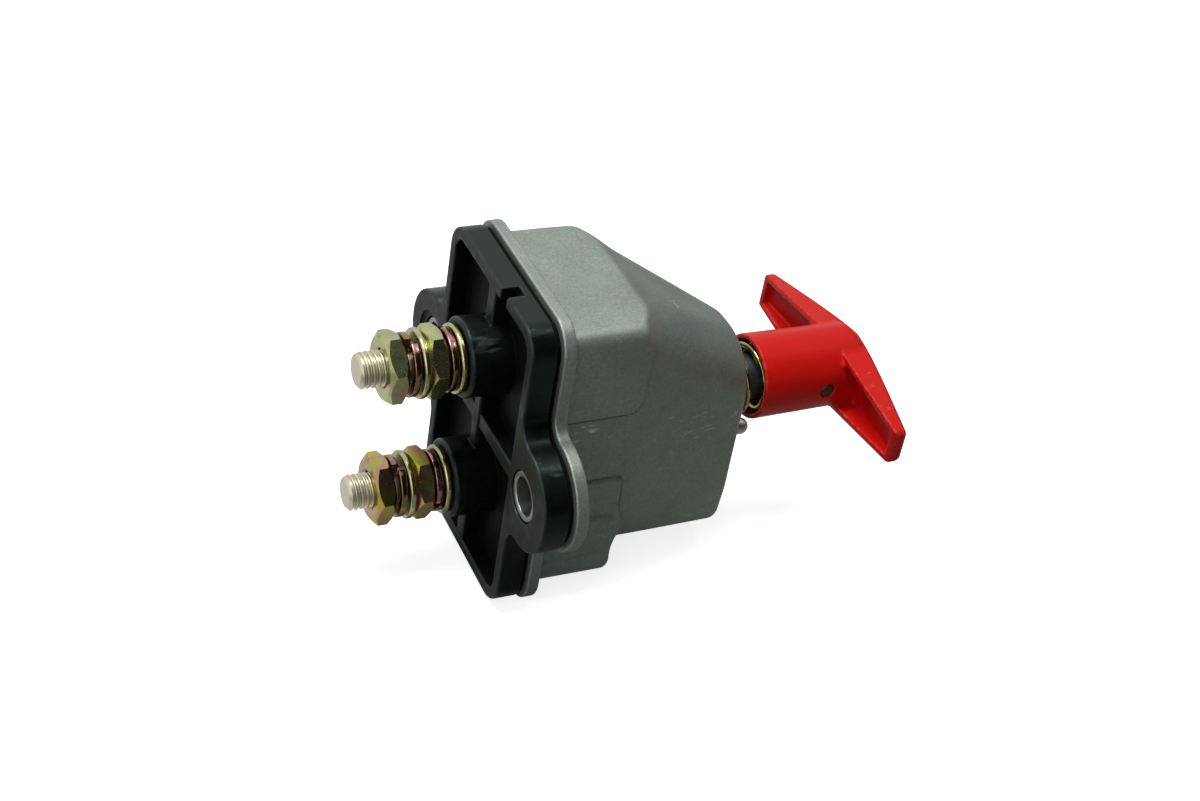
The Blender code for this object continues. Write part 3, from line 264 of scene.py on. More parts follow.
def chromatedZinc(name, look):
    # Zinc-plated steel, yellow chromated: a gold-olive metal whose thin film drifts
    # to green, pink and violet from one spot to the next
    material, tree, shader, place, (brush,) = startFinish(name, look, grain=3.0)
    film = addNode(tree, "ShaderNodeTexNoise", {
        "Vector": place, "Scale": perMm(look["filmMm"]), "Detail": 4.0, "Roughness": 0.55, "Distortion": 0.8})
    drift = addNode(tree, "ShaderNodeMapRange", {
        "Value": film.outputs["Fac"], "From Min": 0.25, "From Max": 0.75})
    hue = addNode(tree, "ShaderNodeValToRGB", {"Fac": drift.outputs["Result"]})
    stops = look["film"]
    while len(hue.color_ramp.elements) < len(stops):
        hue.color_ramp.elements.new(0.5)
    for element, (position, colour) in zip(hue.color_ramp.elements, stops):
        element.position = position
        element.color = hexColour(colour)
    speckle = addNode(tree, "ShaderNodeMapRange", {
        "Value": brush, "From Min": 0.3, "From Max": 0.7, "To Min": 0.9, "To Max": 1.06})
    tinted = addNode(tree, "ShaderNodeMix", {
        0: 1.0, 6: hue.outputs["Color"], 7: speckle.outputs["Result"]}, data_type="RGBA", blend_type="MULTIPLY")
    gloss = addNode(tree, "ShaderNodeMapRange", {
        "Value": brush, "To Min": look["roughness"] - 0.08, "To Max": look["roughness"] + 0.08})
    texture = addNode(tree, "ShaderNodeBump", {
        "Strength": look["grainDepth"], "Distance": 0.03 * mm, "Height": brush})
    linkLook(tree, shader, tinted.outputs[2], gloss.outputs["Result"], texture.outputs["Normal"])
    shader.inputs["Metallic"].default_value = 1.0
    return material


def workedMetal(name, look):
    # Turned, rolled or plated metal, and plain rubber or resin: two close tones, fine grain and uneven gloss
    material, tree, shader, _, (cloud, grain) = startFinish(name, look, cloud=4.0, grain=2.0)
    tone = addNode(tree, "ShaderNodeMix", {
        0: cloud, 6: hexColour(look["dark"]), 7: hexColour(look["pale"])}, data_type="RGBA")
    gloss = addNode(tree, "ShaderNodeMapRange", {
        "Value": cloud, "To Min": look["roughness"] - 0.06, "To Max": look["roughness"] + 0.06})
    texture = addNode(tree, "ShaderNodeBump", {
        "Strength": look["grainDepth"], "Distance": 0.03 * mm, "Height": grain})
    linkLook(tree, shader, tone.outputs[2], gloss.outputs["Result"], texture.outputs["Normal"])
    shader.inputs["Metallic"].default_value = look["metallic"]
    shader.inputs["Specular IOR Level"].default_value = look.get("sheen", 0.5)
    return material


# creaseShade and creaseShadeColour set the painted shade in the housing's creases
castLook = {
    "dark": "#828b84", "pale": "#8d968f", "cloudBand": (0.32, 0.68), "rub": "#dcdfd9", "creaseShadeColour": "#343a35",
    "roughness": 0.5, "metallic": 0.62, "cloudMm": 14.0, "grainMm": 0.55, "speckMm": 0.8, "pitDepth": 0.5,
    "edgeRub": 0.2, "creaseShade": 0.6, "scuffMm": 0.9, "scuffAll": 0.1, "scuffTurn": (0.5, 0.0, 0.0),
    "scuffs": [  # x, y, z and reach in mm, then how pale the mark is
        (-26.4, -22.2, 11.5, 2.4, 1.0), (-26.4, -19.4, 13.0, 1.8, 0.7), (-26.4, -17.3, 9.7, 2.4, 0.9),
        (-23.5, -47.7, 8.5, 3.0, 0.6), (-19.9, -62.9, 0.4, 3.2, 0.6), (-22.8, -50.6, 0.9, 2.4, 0.5),
        (-21.3, -57.0, 3.1, 9.0, 0.3), (-20.2, -61.8, -31.5, 2.5, 0.5), (-17.8, -72.0, 1.0, 5.0, 0.35),
        (-5.6, -51.7, 33.7, 3.0, 0.7), (1.8, -50.5, 34.4, 2.0, 0.5)],
}  # grain and specks are drawn twice as coarse as blasting leaves them, so that they show
baseLook = {
    "dark": "#0a0c0c", "pale": "#101313", "rub": "#4d5553", "roughness": 0.3, "faceMatt": 0.2,
    "cloudMm": 4.0, "grainMm": 0.4, "grainDepth": 0.1, "edgeRub": 0.35, "sheen": 0.22, "tint": "#c4f2e6",
    # scuff spots: partly dust, partly painted highlights on the boss tops, the top corner and the ear fillets
    "scuffMm": 1.7, "scuffAll": 0.0, "scuffTurn": (0.0, 0.0, 0.0), "scuffs": [
        (-5.9, 4.5, 29.8, 4.5, 0.6), (-7.2, 0.5, 28.8, 5.5, 0.6), (-24.8, -1.5, 44.7, 2.6, 0.8),
        (-25.4, -5.2, 44.4, 2.6, 0.7), (-38.6, -1.2, 14.6, 2.0, 0.9), (-43.6, -4.9, 12.3, 2.6, 0.9)],
}
handleLook = {
    "dark": "#cb100a", "pale": "#d4180f", "rub": "#ea8c80", "roughness": 0.38,
    "cloudMm": 12.0, "peelMm": 1.6, "nickMm": 1.4, "peelDepth": 0.05, "edgeRub": 0.23, "sheen": 0.15,
    "scuffMm": 0.5, "scuffAll": 0.0, "scuffTurn": (0.0, 0.0, 0.3), "scuffs": [
        (-16.3, -112.3, 8.5, 3.5, 0.4), (-22.2, -112.0, 7.7, 3.0, 0.4), (-30.4, -112.2, 6.7, 4.0, 0.4),
        (-4.2, -110.4, 10.0, 1.4, 0.5), (-3.5, -113.7, 10.1, 1.2, 0.4)],
}
sageFilm = [
    (0.0, "#7f8c5a"), (0.3, "#a6ab74"), (0.5, "#b1b686"), (0.66, "#b0a97c"), (0.77, "#b89288"),
    (0.86, "#a5ab76"), (1.0, "#86a482"),
]
sageLook = {"film": sageFilm, "filmMm": 13.0, "grainMm": 0.35, "grainDepth": 0.14, "roughness": 0.24}
roseFilm = [
    (0.0, "#8fa346"), (0.26, "#a8aa44"), (0.38, "#b69c46"), (0.48, "#b68a72"), (0.57, "#aa8088"),
    (0.66, "#ae9e42"), (0.8, "#86a852"), (1.0, "#90a058"),
]
roseLook = {"film": roseFilm, "filmMm": 11.0, "grainMm": 0.35, "grainDepth": 0.14, "roughness": 0.24}
washerFilm = [
    (0.0, "#879a6c"), (0.35, "#aeaa7c"), (0.55, "#b7b388"), (0.75, "#a59c72"), (1.0, "#7ea08a"),
]
washerLook = {"film": washerFilm, "filmMm": 9.0, "grainMm": 0.25, "grainDepth": 0.04, "roughness": 0.22}
lockFilm = [
    (0.0, "#736f4a"), (0.3, "#8f7c54"), (0.46, "#8d6a5a"), (0.56, "#c07c8c"),
    (0.66, "#86705a"), (1.0, "#64806a"),
]
lockLook = {"film": lockFilm, "filmMm": 6.0, "grainMm": 0.25, "grainDepth": 0.05, "roughness": 0.18}
springFilm = [
    (0.0, "#48663a"), (0.3, "#7f8550"), (0.5, "#a9a86c"), (0.7, "#6f8250"), (1.0, "#4c7262"),
]
springLook = {"film": springFilm, "filmMm": 6.0, "grainMm": 0.2, "grainDepth": 0.02, "roughness": 0.1}

castMetal = castAluminium(castLook)
blackNylon = mouldedNylon(baseLook)
redAbs = mouldedAbs(handleLook)
nutZinc = {
    "upper": chromatedZinc("chromatedZincSage", sageLook),
    "lower": chromatedZinc("chromatedZincRose", roseLook),
}
washerZinc = chromatedZinc("chromatedZincWasher", washerLook)
lockZinc = chromatedZinc("chromatedZincSplitWasher", lockLook)
springZinc = chromatedZinc("chromatedZincWire", springLook)
tinnedBrass = workedMetal("tinnedBrass", {  # rolled thread, tin plated: warm silver
    "dark": "#beb8a0", "pale": "#d6d1bc", "roughness": 0.34, "metallic": 1.0,
    "cloudMm": 3.0, "grainMm": 0.25, "grainDepth": 0.06})
sleeveSteel = workedMetal("zincPlatedSteelTube", {  # bright tube, cut and deburred
    "dark": "#858984", "pale": "#a0a49f", "roughness": 0.34, "metallic": 1.0,
    "cloudMm": 2.5, "grainMm": 0.2, "grainDepth": 0.03})
shaftSteel = workedMetal("turnedSteel", {  # turned bar, oiled: cool grey
    "dark": "#4a5455", "pale": "#5e6868", "roughness": 0.42, "metallic": 0.8,
    "cloudMm": 4.0, "grainMm": 0.25, "grainDepth": 0.04})
pinSteel = workedMetal("blackenedSteel", {  # rolled pin, blackened by its hardening
    "dark": "#3a3d38", "pale": "#55584f", "roughness": 0.5, "metallic": 0.7,
    "cloudMm": 1.2, "grainMm": 0.2, "grainDepth": 0.2})
dowelSteel = workedMetal("nickelledSteel", {  # headed pin, dull nickel with a brown cast
    "dark": "#a8a498", "pale": "#c6c2b8", "roughness": 0.4, "metallic": 0.85,
    "cloudMm": 1.5, "grainMm": 0.25, "grainDepth": 0.15})
gasketRubber = workedMetal("nitrileRubber", {  # die-cut sheet: dead black and matt
    "dark": "#060707", "pale": "#0c0d0d", "roughness": 0.85, "metallic": 0.0, "sheen": 0.08,
    "cloudMm": 2.0, "grainMm": 0.3, "grainDepth": 0.2})
bushBronze = workedMetal("sinteredBronze", {  # oil-filled powder metal: brown and porous
    "dark": "#7c5a34", "pale": "#9a7442", "roughness": 0.5, "metallic": 0.9,
    "cloudMm": 2.0, "grainMm": 0.2, "grainDepth": 0.3})
barCopper = workedMetal("rolledCopper", {  # half-hard strip, lightly tarnished
    "dark": "#a8613f", "pale": "#c97b52", "roughness": 0.33, "metallic": 1.0,
    "cloudMm": 4.0, "grainMm": 0.3, "grainDepth": 0.1})
carrierPhenolic = workedMetal("mouldedPhenolic", {  # brown thermoset, low sheen
    "dark": "#2c2019", "pale": "#3a2b21", "roughness": 0.5, "metallic": 0.0,
    "cloudMm": 3.0, "grainMm": 0.3, "grainDepth": 0.15})
print("materials made:", len(bpy.data.materials))


# Forms: each is a field in mm that is negative inside the piece, its edges and corners already rounded

def joined(a, b, radius):
    corner = np.hypot(np.maximum(radius - a, 0), np.maximum(radius - b, 0))
    return np.maximum(radius, np.minimum(a, b)) - corner


def trimmed(a, b, radius):
    corner = np.hypot(np.maximum(radius + a, 0), np.maximum(radius + b, 0))
    return np.minimum(-radius, np.maximum(a, b)) + corner


def cutOut(a, b, radius):
    return trimmed(a, -b, radius)


def eased(distance, blend):
    return (distance + np.hypot(distance, blend)) / 2


def roundedBox(x, z, halfWidth, low, high, lowRadius, highRadius):
    middle = (low + high) / 2
    radius = np.where(z > middle, highRadius, lowRadius)
    across = np.abs(x) - halfWidth + radius
    along = np.abs(z - middle) - (high - low) / 2 + radius
    corner = np.hypot(np.maximum(across, 0), np.maximum(along, 0))
    return np.minimum(np.maximum(across, along), 0) + corner - radius


outline = {
    "width": 58.4, "height": 91.2, "corner": 8.0, "earSpacing": 70.0, "earRadius": 15.0, "earFillet": 6.0,
}
earX = outline["earSpacing"] / 2


def earedOutline(x, z):
    halfWidth, halfHeight = outline["width"] / 2, outline["height"] / 2
    fillet = outline["earFillet"]
    plate = roundedBox(x, z, halfWidth, -halfHeight, halfHeight, outline["corner"], outline["corner"])
    ear = np.hypot(np.abs(x) - earX, z) - outline["earRadius"]
    filletX = halfWidth + fillet
    filletZ = math.sqrt((outline["earRadius"] + fillet) ** 2 - (filletX - earX) ** 2)
    fromX, fromZ = np.abs(x) - filletX, np.abs(z) - filletZ
    inFillet = (fromX < 0) & (fromZ < 0)
    return np.where(inFillet, fillet - np.hypot(fromX, fromZ), np.minimum(plate, ear))


drawing = {
    "merge": 1e-6, "firstRounds": 6, "lastRounds": 4, "mostMove": 0.5, "leastSlope": 0.25,
    "slopeStep": 0.01, "normalStep": 0.02, "bendStep": 0.3,
}  # merge in metres, moves and steps in mm


def slopes(form, points, step):
    x, y, z = points.T
    return np.stack([
        form(x + step, y, z) - form(x - step, y, z),
        form(x, y + step, z) - form(x, y - step, z),
        form(x, y, z + step) - form(x, y, z - step),
    ], axis=1) / (2 * step)


def settle(mesh, form, rounds):
    # moves every vertex down the field's slope until it lies on the form
    flat = np.empty(len(mesh.vertices) * 3)
    mesh.vertices.foreach_get("co", flat)
    points = flat.reshape(-1, 3) / mm
    for _ in range(rounds):
        slope = slopes(form, points, drawing["slopeStep"])
        steep = np.maximum((slope ** 2).sum(1), drawing["leastSlope"])
        off = np.clip(form(*points.T), -drawing["mostMove"], drawing["mostMove"])
        points -= (off / steep)[:, None] * slope
    mesh.vertices.foreach_set("co", (points * mm).ravel())
    mesh.update()
    return points


def drawForm(name, node, form, voxel, keep, past=0.0, longer=0.0):
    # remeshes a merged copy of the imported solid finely, settles it on the form, then thins its flats
    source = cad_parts[node].data.copy()
    shape = bmesh.new()
    shape.from_mesh(source)
    bmesh.ops.remove_doubles(shape, verts=shape.verts, dist=drawing["merge"])
    for corner in shape.verts:
        if longer and corner.co.y > past * mm:  # an end that the form draws farther out
            corner.co.y += longer * mm
    shape.to_mesh(source)
    shape.free()
    piece = linkPiece(name, source)
    remesh = piece.modifiers.new("remesh", "REMESH")
    remesh.mode = "VOXEL"
    remesh.voxel_size = voxel * mm
    mesh = bakedMesh(piece, name)
    settle(mesh, form, drawing["firstRounds"])
    piece.modifiers.clear()
    piece.data = mesh
    thin = piece.modifiers.new("thin", "DECIMATE")
    thin.ratio = keep
    mesh = bakedMesh(piece, name)
    points = settle(mesh, form, drawing["lastRounds"])
    piece.modifiers.clear()
    piece.data = mesh
    normals = slopes(form, points, drawing["normalStep"])
    normals /= np.maximum(np.linalg.norm(normals, axis=1), 1e-6)[:, None]
    mesh.shade_smooth()
    mesh.normals_split_custom_set_from_vertices(normals.tolist())
    step = drawing["bendStep"]
    x, y, z = points.T
    bend = (form(x + step, y, z) + form(x - step, y, z) + form(x, y + step, z) + form(x, y - step, z)
            + form(x, y, z + step) + form(x, y, z - step) - 6 * form(x, y, z)) / step ** 2
    edge = mesh.attributes.new("edge", "FLOAT", "POINT")  # positive on edges, negative in creases
    edge.data.foreach_set("value", np.clip(bend / 2, -1, 1).astype(np.float32))
    print(name, "has", len(mesh.polygons), "faces")
    return piece


# Die-cast housing
housing = {
    "flangeRear": -8.6, "flangeFront": -12.2, "flangeOverhang": 1.0, "flangeRound": 0.6, "flangeFillet": 0.9,
    "flangeRearRound": 0.4, "blockFront": -35.2, "upperLow": 15.0, "upperCorner": 3.2, "upperStep": 0.9,
    "upperEdge": (0.5, 1.9), "upperEdgeReach": 6.0,
    "lowerHalf": 27.1, "lowerLow": -41.3, "lowerHigh": -6.5, "lowerPast": 20.0, "lowerRadius": (4.5, 1.0),
    "lowerFront": -33.8, "lowerLean": 0.05, "lowerCorner": 2.6, "lowerRound": (1.3, 3.0),
    "stepFillet": 0.6, "bellyFillet": 5.0, "belly": (-16.0, -32.0),
    "noseFront": -74.2, "noseHalf": (26.4, 17.3), "noseTop": (42.2, 20.6), "noseBottom": -39.8,
    "topRadius": (4.6, 13.6, 15.9), "shoulder": (-34.4, -43.0), "shoulderBlend": 1.2,
    "bottomRadius": (20.0, 6.0), "sideStart": -35.2, "sideBlend": 5.0, "slopeStart": -37.2, "slopeBlend": 1.2,
    "noseRound": (1.8, 3.4), "noseRoundAt": (-24.0, -36.0),
    "cavity": (23.5, -37.8, 38.5, 3.4), "cavityFront": -31.7, "cavityRound": 0.8, "cavityEdge": 0.4,
    "camBore": 17.5, "camSeat": -62.2, "shaftBore": 9.6, "recess": 11.1, "recessRear": -73.0,
    "dowelHole": 1.7, "dowelAt": (-13.3, -6.6), "earHole": 5.2, "holeEdge": 0.3,
}


def softStep(value, start, end):
    share = np.clip((value - start) / (end - start), 0, 1)
    return share ** 2 * (3 - 2 * share)


def noseForm(x, y, z):
    h = housing
    along = np.clip((h["blockFront"] - y) / (h["blockFront"] - h["noseFront"]), 0, 1)
    sideReach = eased(h["sideStart"] - h["noseFront"], h["sideBlend"])
    sideShare = eased(h["sideStart"] - y, h["sideBlend"]) / sideReach
    topReach = eased(h["slopeStart"] - h["noseFront"], h["slopeBlend"])
    topShare = eased(h["slopeStart"] - y, h["slopeBlend"]) / topReach
    half = h["noseHalf"][0] + (h["noseHalf"][1] - h["noseHalf"][0]) * sideShare
    top = h["noseTop"][0] + (h["noseTop"][1] - h["noseTop"][0]) * topShare
    block = trimmed(h["upperLow"] - z, h["blockFront"] - y, h["upperCorner"])
    crisp, soft = h["upperEdge"]
    edge = crisp + (soft - crisp) * softStep(z, h["upperLow"], h["upperLow"] + h["upperEdgeReach"])
    half = half + h["upperStep"] * softStep(block, edge, -edge)  # the upper block stands proud
    blockRadius, startRadius, endRadius = h["topRadius"]
    noseRadius = startRadius + (endRadius - startRadius) * along
    high, low = h["shoulder"]
    past = np.clip(eased(high - y, h["shoulderBlend"]) / (high - low), 0, 1)
    fallen = 1 - (1 - past) ** 2  # falls away at once, then levels out
    topRadius = blockRadius + (noseRadius - blockRadius) * fallen
    lowRadius = h["bottomRadius"][0] + (h["bottomRadius"][1] - h["bottomRadius"][0]) * along
    section = roundedBox(x, z, half, h["noseBottom"], top, lowRadius, topRadius)
    upRound, downRound = h["noseRound"]
    rim = upRound + (downRound - upRound) * softStep(z, *h["noseRoundAt"])
    return trimmed(section, h["noseFront"] - y, rim)


def housingForm(x, y, z):
    h = housing
    body = noseForm(x, y, z)
    front = h["lowerFront"] + h["lowerLean"] * (z - h["lowerHigh"])
    belly = softStep(z, *h["belly"])
    sideRound, footRound = h["lowerRound"]
    lower = roundedBox(x, z, h["lowerHalf"], h["lowerLow"], h["lowerHigh"] + h["lowerPast"], *h["lowerRadius"])
    brow = trimmed(z - h["lowerHigh"], front - y, h["lowerCorner"])
    lower = trimmed(lower, brow, sideRound + (footRound - sideRound) * belly)
    body = joined(body, lower, h["stepFillet"] + (h["bellyFillet"] - h["stepFillet"]) * belly)
    flange = trimmed(earedOutline(x, z) - h["flangeOverhang"], h["flangeFront"] - y, h["flangeRound"])
    body = joined(body, flange, h["flangeFillet"])
    body = trimmed(body, y - h["flangeRear"], h["flangeRearRound"])
    half, low, high, corner = h["cavity"]
    cavity = trimmed(roundedBox(x, z, half, low, high, corner, corner), h["cavityFront"] - y, h["cavityRound"])
    radius = np.hypot(x, z)
    camBore = np.maximum(radius - h["camBore"], h["camSeat"] - y)
    body = cutOut(body, np.minimum(cavity, camBore), h["cavityEdge"])
    shaftBore = radius - h["shaftBore"]
    recess = np.maximum(radius - h["recess"], y - h["recessRear"])
    dowelHole = np.hypot(x - h["dowelAt"][0], z - h["dowelAt"][1]) - h["dowelHole"]
    earHole = np.hypot(np.abs(x) - earX, z) - h["earHole"]
    holes = np.minimum(np.minimum(shaftBore, recess), np.minimum(dowelHole, earHole))
    return cutOut(body, holes, h["holeEdge"])


housingPiece = drawForm("castHousing", "housing", housingForm, voxel=0.5, keep=0.4)
dress(housingPiece, castMetal, "switch_body", "cast_aluminium", "housing")

# Moulded base
base = {
    "front": -7.2, "edgeRound": 0.6, "trayHalf": 25.8, "trayReach": 42.2, "trayCorner": 5.0, "trayFloor": -5.5,
    "ribHalf": 2.2, "earRib": (27.5, -0.8), "studRib": (20.5, -1.05), "endRib": (43.9, -0.4), "ribRound": 0.35,
    "bossRadius": 11.0, "bossTop": 7.0, "bossRound": 1.0, "studZ": 20.5, "studHole": 5.2,
    "sleeveHole": 7.15, "holeEdge": 0.3, "counterbore": (9.0, -1.0), "counterboreEdge": 0.25,
    "notch": (-8.0, 2.1, 41.7, -5.0), "ribFillet": 0.4, "rootFillet": 0.6, "rootDepth": 1.0,
    "gasketEdge": -6.2, "trayMargin": 0.1, "dullFrom": -1.5, "dullDepth": 3.0,
}


def trayOutline(x, z):
    reach, corner = base["trayReach"], base["trayCorner"]
    return roundedBox(x, z, base["trayHalf"], -reach, reach, corner, corner)


def baseForm(x, y, z):
    b = base
    body = trimmed(earedOutline(x, z), np.maximum(y, b["front"] - y), b["edgeRound"])
    tray = trimmed(trayOutline(x, z), b["trayFloor"] - y, b["rootFillet"])
    body = cutOut(body, tray, b["edgeRound"])
    ax, az = np.abs(x), np.abs(z)
    deep = b["front"] + b["rootDepth"] - y
    for (reach, top), along, across in ((b["earRib"], ax, az), (b["studRib"], az, ax), (b["endRib"], az, ax)):
        rib = trimmed(np.maximum(across - b["ribHalf"], along - reach), y - top, b["ribRound"])
        body = joined(body, np.maximum(rib, deep), b["ribFillet"])
    fromStud = np.hypot(x, az - b["studZ"])
    boss = trimmed(fromStud - b["bossRadius"], y - b["bossTop"], b["bossRound"])
    body = joined(body, np.maximum(boss, deep), b["rootFillet"])
    body = cutOut(body, fromStud - b["studHole"], b["holeEdge"])
    fromEar = np.hypot(ax - earX, z)
    body = cutOut(body, fromEar - b["sleeveHole"], b["holeEdge"])
    wide, seat = b["counterbore"]
    counterbore = np.maximum(np.hypot(x - earX, z) - wide, seat - y)  # on the left ear only
    body = cutOut(body, counterbore, b["counterboreEdge"])
    middle, half, start, floor = b["notch"]
    notch = np.maximum(np.maximum(np.abs(x - middle) - half, start - z), floor - y)
    return cutOut(body, notch, b["holeEdge"])


basePiece = drawForm("mouldedBase", "base", baseForm, voxel=0.42, keep=0.45)
flat = np.empty(len(basePiece.data.vertices) * 3)
basePiece.data.vertices.foreach_get("co", flat)
x, y, z = flat.reshape(-1, 3).T / mm
inTray = trayOutline(x, z) < base["trayMargin"]
edge = basePiece.data.attributes["edge"].data
bend = np.empty(len(y), np.float32)
edge.foreach_get("value", bend)
rubbed = np.where(y < base["gasketEdge"], np.minimum(bend, 0), bend)  # nothing rubs where it meets the gasket
edge.foreach_set("value", rubbed)
recess = basePiece.data.attributes.new("recess", "FLOAT", "POINT")
depth = np.clip((base["dullFrom"] - y) / base["dullDepth"], 0, 1)
recess.data.foreach_set("value", np.where(inTray, depth, 0).astype(np.float32))
dress(basePiece, blackNylon, "switch_body", "black_plastic", "base")

# Moulded handle
handle = {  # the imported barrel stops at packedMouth, and its last band is drawn out to the mouth
    "mouth": -83.5, "packedMouth": -85.2, "mouthBand": 1.0, "mouthRadius": 12.4, "mouthRound": 0.6,
    "rootRadius": 12.0, "rootY": -109.4, "farY": -117.2, "farRound": 2.0,
    "halfSpan": 40.4, "foot": -109.4, "crown": -119.2, "tipDepth": 4.2, "sweepBlend": 13.0,
    "rootHalf": 10.5, "tipHalf": 5.45, "crownRound": 2.0, "footRound": 0.55, "tipRound": 1.5,
    "barrelFillet": 0.6, "channelRoot": 5.0, "channelWall": 1.9, "channelWeb": 2.4, "channelFillet": 0.8,
    "channelTip": 2.75, "channelInside": (0.6, 2.4), "channelRootFillet": 1.6,
    "springBore": 11.0, "springStop": -97.2, "shaftBore": 7.2, "shaftEnd": -115.0, "boreEdge": 0.5,
    "pinY": -104.4, "pinHole": 2.2, "pinHoleReach": 15.0, "pinHoleEdge": 0.3,
}


def handleForm(x, y, z):
    h = handle
    ax = np.abs(x)
    radius = np.hypot(x, z)
    taper = (h["mouthRadius"] - h["rootRadius"]) * (h["mouth"] - y) / (h["mouth"] - h["rootY"])
    barrel = trimmed(radius - h["mouthRadius"] + taper, y - h["mouth"], h["mouthRound"])
    barrel = trimmed(barrel, h["farY"] - y, h["farRound"])
    drop = h["foot"] - h["tipDepth"] - h["crown"]
    reach = math.hypot(h["halfSpan"], h["sweepBlend"]) - h["sweepBlend"]
    crown = h["crown"] + drop / reach * (np.hypot(x, h["sweepBlend"]) - h["sweepBlend"])
    half = h["rootHalf"] + (h["tipHalf"] - h["rootHalf"]) * ax / h["halfSpan"]
    bar = trimmed(np.abs(z) - half, crown - y, h["crownRound"])
    bar = trimmed(bar, y - h["foot"], h["footRound"])
    bar = trimmed(bar, ax - h["halfSpan"], h["tipRound"])
    channel = trimmed(np.abs(z) - half + h["channelWall"], crown + h["channelWeb"] - y, h["channelFillet"])
    ends = np.maximum(h["channelRoot"] - ax, ax - h["halfSpan"] + h["channelTip"])
    channel = trimmed(channel, ends, h["channelFillet"])
    bar = cutOut(bar, channel, h["footRound"])
    inside = softStep(half - np.abs(z), *h["channelInside"])  # roots within the channel are rounder
    body = joined(bar, barrel, h["barrelFillet"] + h["channelRootFillet"] * inside)
    springBore = np.maximum(radius - h["springBore"], h["springStop"] - y)
    shaftBore = np.maximum(radius - h["shaftBore"], h["shaftEnd"] - y)
    pinHole = np.maximum(np.hypot(y - h["pinY"], z) - h["pinHole"], ax - h["pinHoleReach"])
    body = cutOut(body, np.minimum(springBore, shaftBore), h["boreEdge"])
    return cutOut(body, pinHole, h["pinHoleEdge"])


handlePiece = drawForm(
    "tHandle", "t_handle", handleForm, voxel=0.36, keep=0.5,
    past=handle["packedMouth"] - handle["mouthBand"], longer=handle["mouth"] - handle["packedMouth"])
dress(handlePiece, redAbs, "handle_body", "red_plastic", "t_handle")
print("cast and moulded pieces drawn")


# Turned pieces

def roundedProfile(corners, radius, steps=4):
    # a closed section in (radius, y) whose corners are rounded
    points = []
    count = len(corners)
    for i in range(count):
        here = np.array(corners[i])
        before = np.array(corners[i - 1]) - here
        after = np.array(corners[(i + 1) % count]) - here
        before /= np.linalg.norm(before)
        after /= np.linalg.norm(after)
        spread = math.acos(np.clip(before @ after, -1, 1))
        reach = radius / math.tan(spread / 2)
        centre = here + (before + after) / np.linalg.norm(before + after) * radius / math.sin(spread / 2)
        start, end = here + before * reach - centre, here + after * reach - centre
        for step in range(steps + 1):
            share = step / steps
            arm = start * (1 - share) + end * share
            points.append(tuple(centre + arm / np.linalg.norm(arm) * radius))
    return points


def ringSection(inner, outer, rear, front, radius, steps=4):
    return roundedProfile([(inner, rear), (outer, rear), (outer, front), (inner, front)], radius, steps)


finishing = {"merge": 1e-7, "sharpAngle": 32.0}  # merge in metres, angle in degrees


def finishPiece(name, points, faces):
    shape = bmesh.new()
    corners = [shape.verts.new(point) for point in points]
    for face in faces:
        shape.faces.new([corners[i] for i in face])
    bmesh.ops.remove_doubles(shape, verts=shape.verts, dist=finishing["merge"])
    bmesh.ops.recalc_face_normals(shape, faces=shape.faces)
    mesh = bpy.data.meshes.new(name)
    shape.to_mesh(mesh)
    shape.free()
    mesh.shade_smooth()
    mesh.set_sharp_from_angle(angle=math.radians(finishing["sharpAngle"]))
    piece = linkPiece(name, mesh)
    even = piece.modifiers.new("even", "WEIGHTED_NORMAL")
    even.keep_sharp = True
    piece.data = bakedMesh(piece, name)
    piece.modifiers.clear()
    return piece


def turnedPiece(name, profile, centre, steps, along="Y", closed=True):
    # turns a (radius, distance) profile about an axis through the centre, in mm
    points, faces = [], []
    count = len(profile)
    for step in range(steps):
        angle = 2 * math.pi * step / steps
        for radius, reach in profile:
            a, b = radius * math.cos(angle), radius * math.sin(angle)
            spot = (a, reach, b) if along == "Y" else (reach, a, b)
            points.append(tuple((spot[k] + centre[k]) * mm for k in range(3)))
    for step in range(steps):
        here, there = step * count, (step + 1) % steps * count
        for i in range(count if closed else count - 1):
            j = (i + 1) % count
            faces.append((here + i, here + j, there + j, there + i))
    if not closed:
        faces.append(tuple(step * count for step in range(steps)))
        faces.append(tuple(step * count + count - 1 for step in range(steps)))
    return finishPiece(name, points, faces)


stack = {
    "studZ": 20.5, "bore": 5.2, "nutFlats": 17.7, "nutHeight": 5.3, "nutFaceRadius": 8.3, "nutChamfer": 36.0,
    "nutCorner": 0.3, "nutEdge": 0.05, "nutFaceGap": 0.06, "nutMouth": 0.55,
    "washerRadius": 9.5, "washerHeight": 1.8, "washerRound": 0.6,
    "lockRadius": 8.7, "lockHeight": 1.9, "lockSplit": 12.0, "lockRound": 0.28, "lockSharp": 40.0,
    "nutY": {"inner": 11.9, "outer": 23.1}, "washerY": {"inner": 7.3, "outer": 17.5},
    "lockY": {"inner": 9.4, "outer": 19.6}, "lockRise": {"inner": 0.3, "outer": 1.3},
    "nutTurn": {"inner_upper": -20, "outer_upper": -10, "inner_lower": -25, "outer_lower": -20},
    "lockTurn": {"inner_upper": -60, "outer_upper": -100, "inner_lower": 165, "outer_lower": -105},
}
studEnds = {"upper": stack["studZ"], "lower": -stack["studZ"]}
stackPlaces = [(place, end) for end in studEnds for place in ("inner", "outer")]


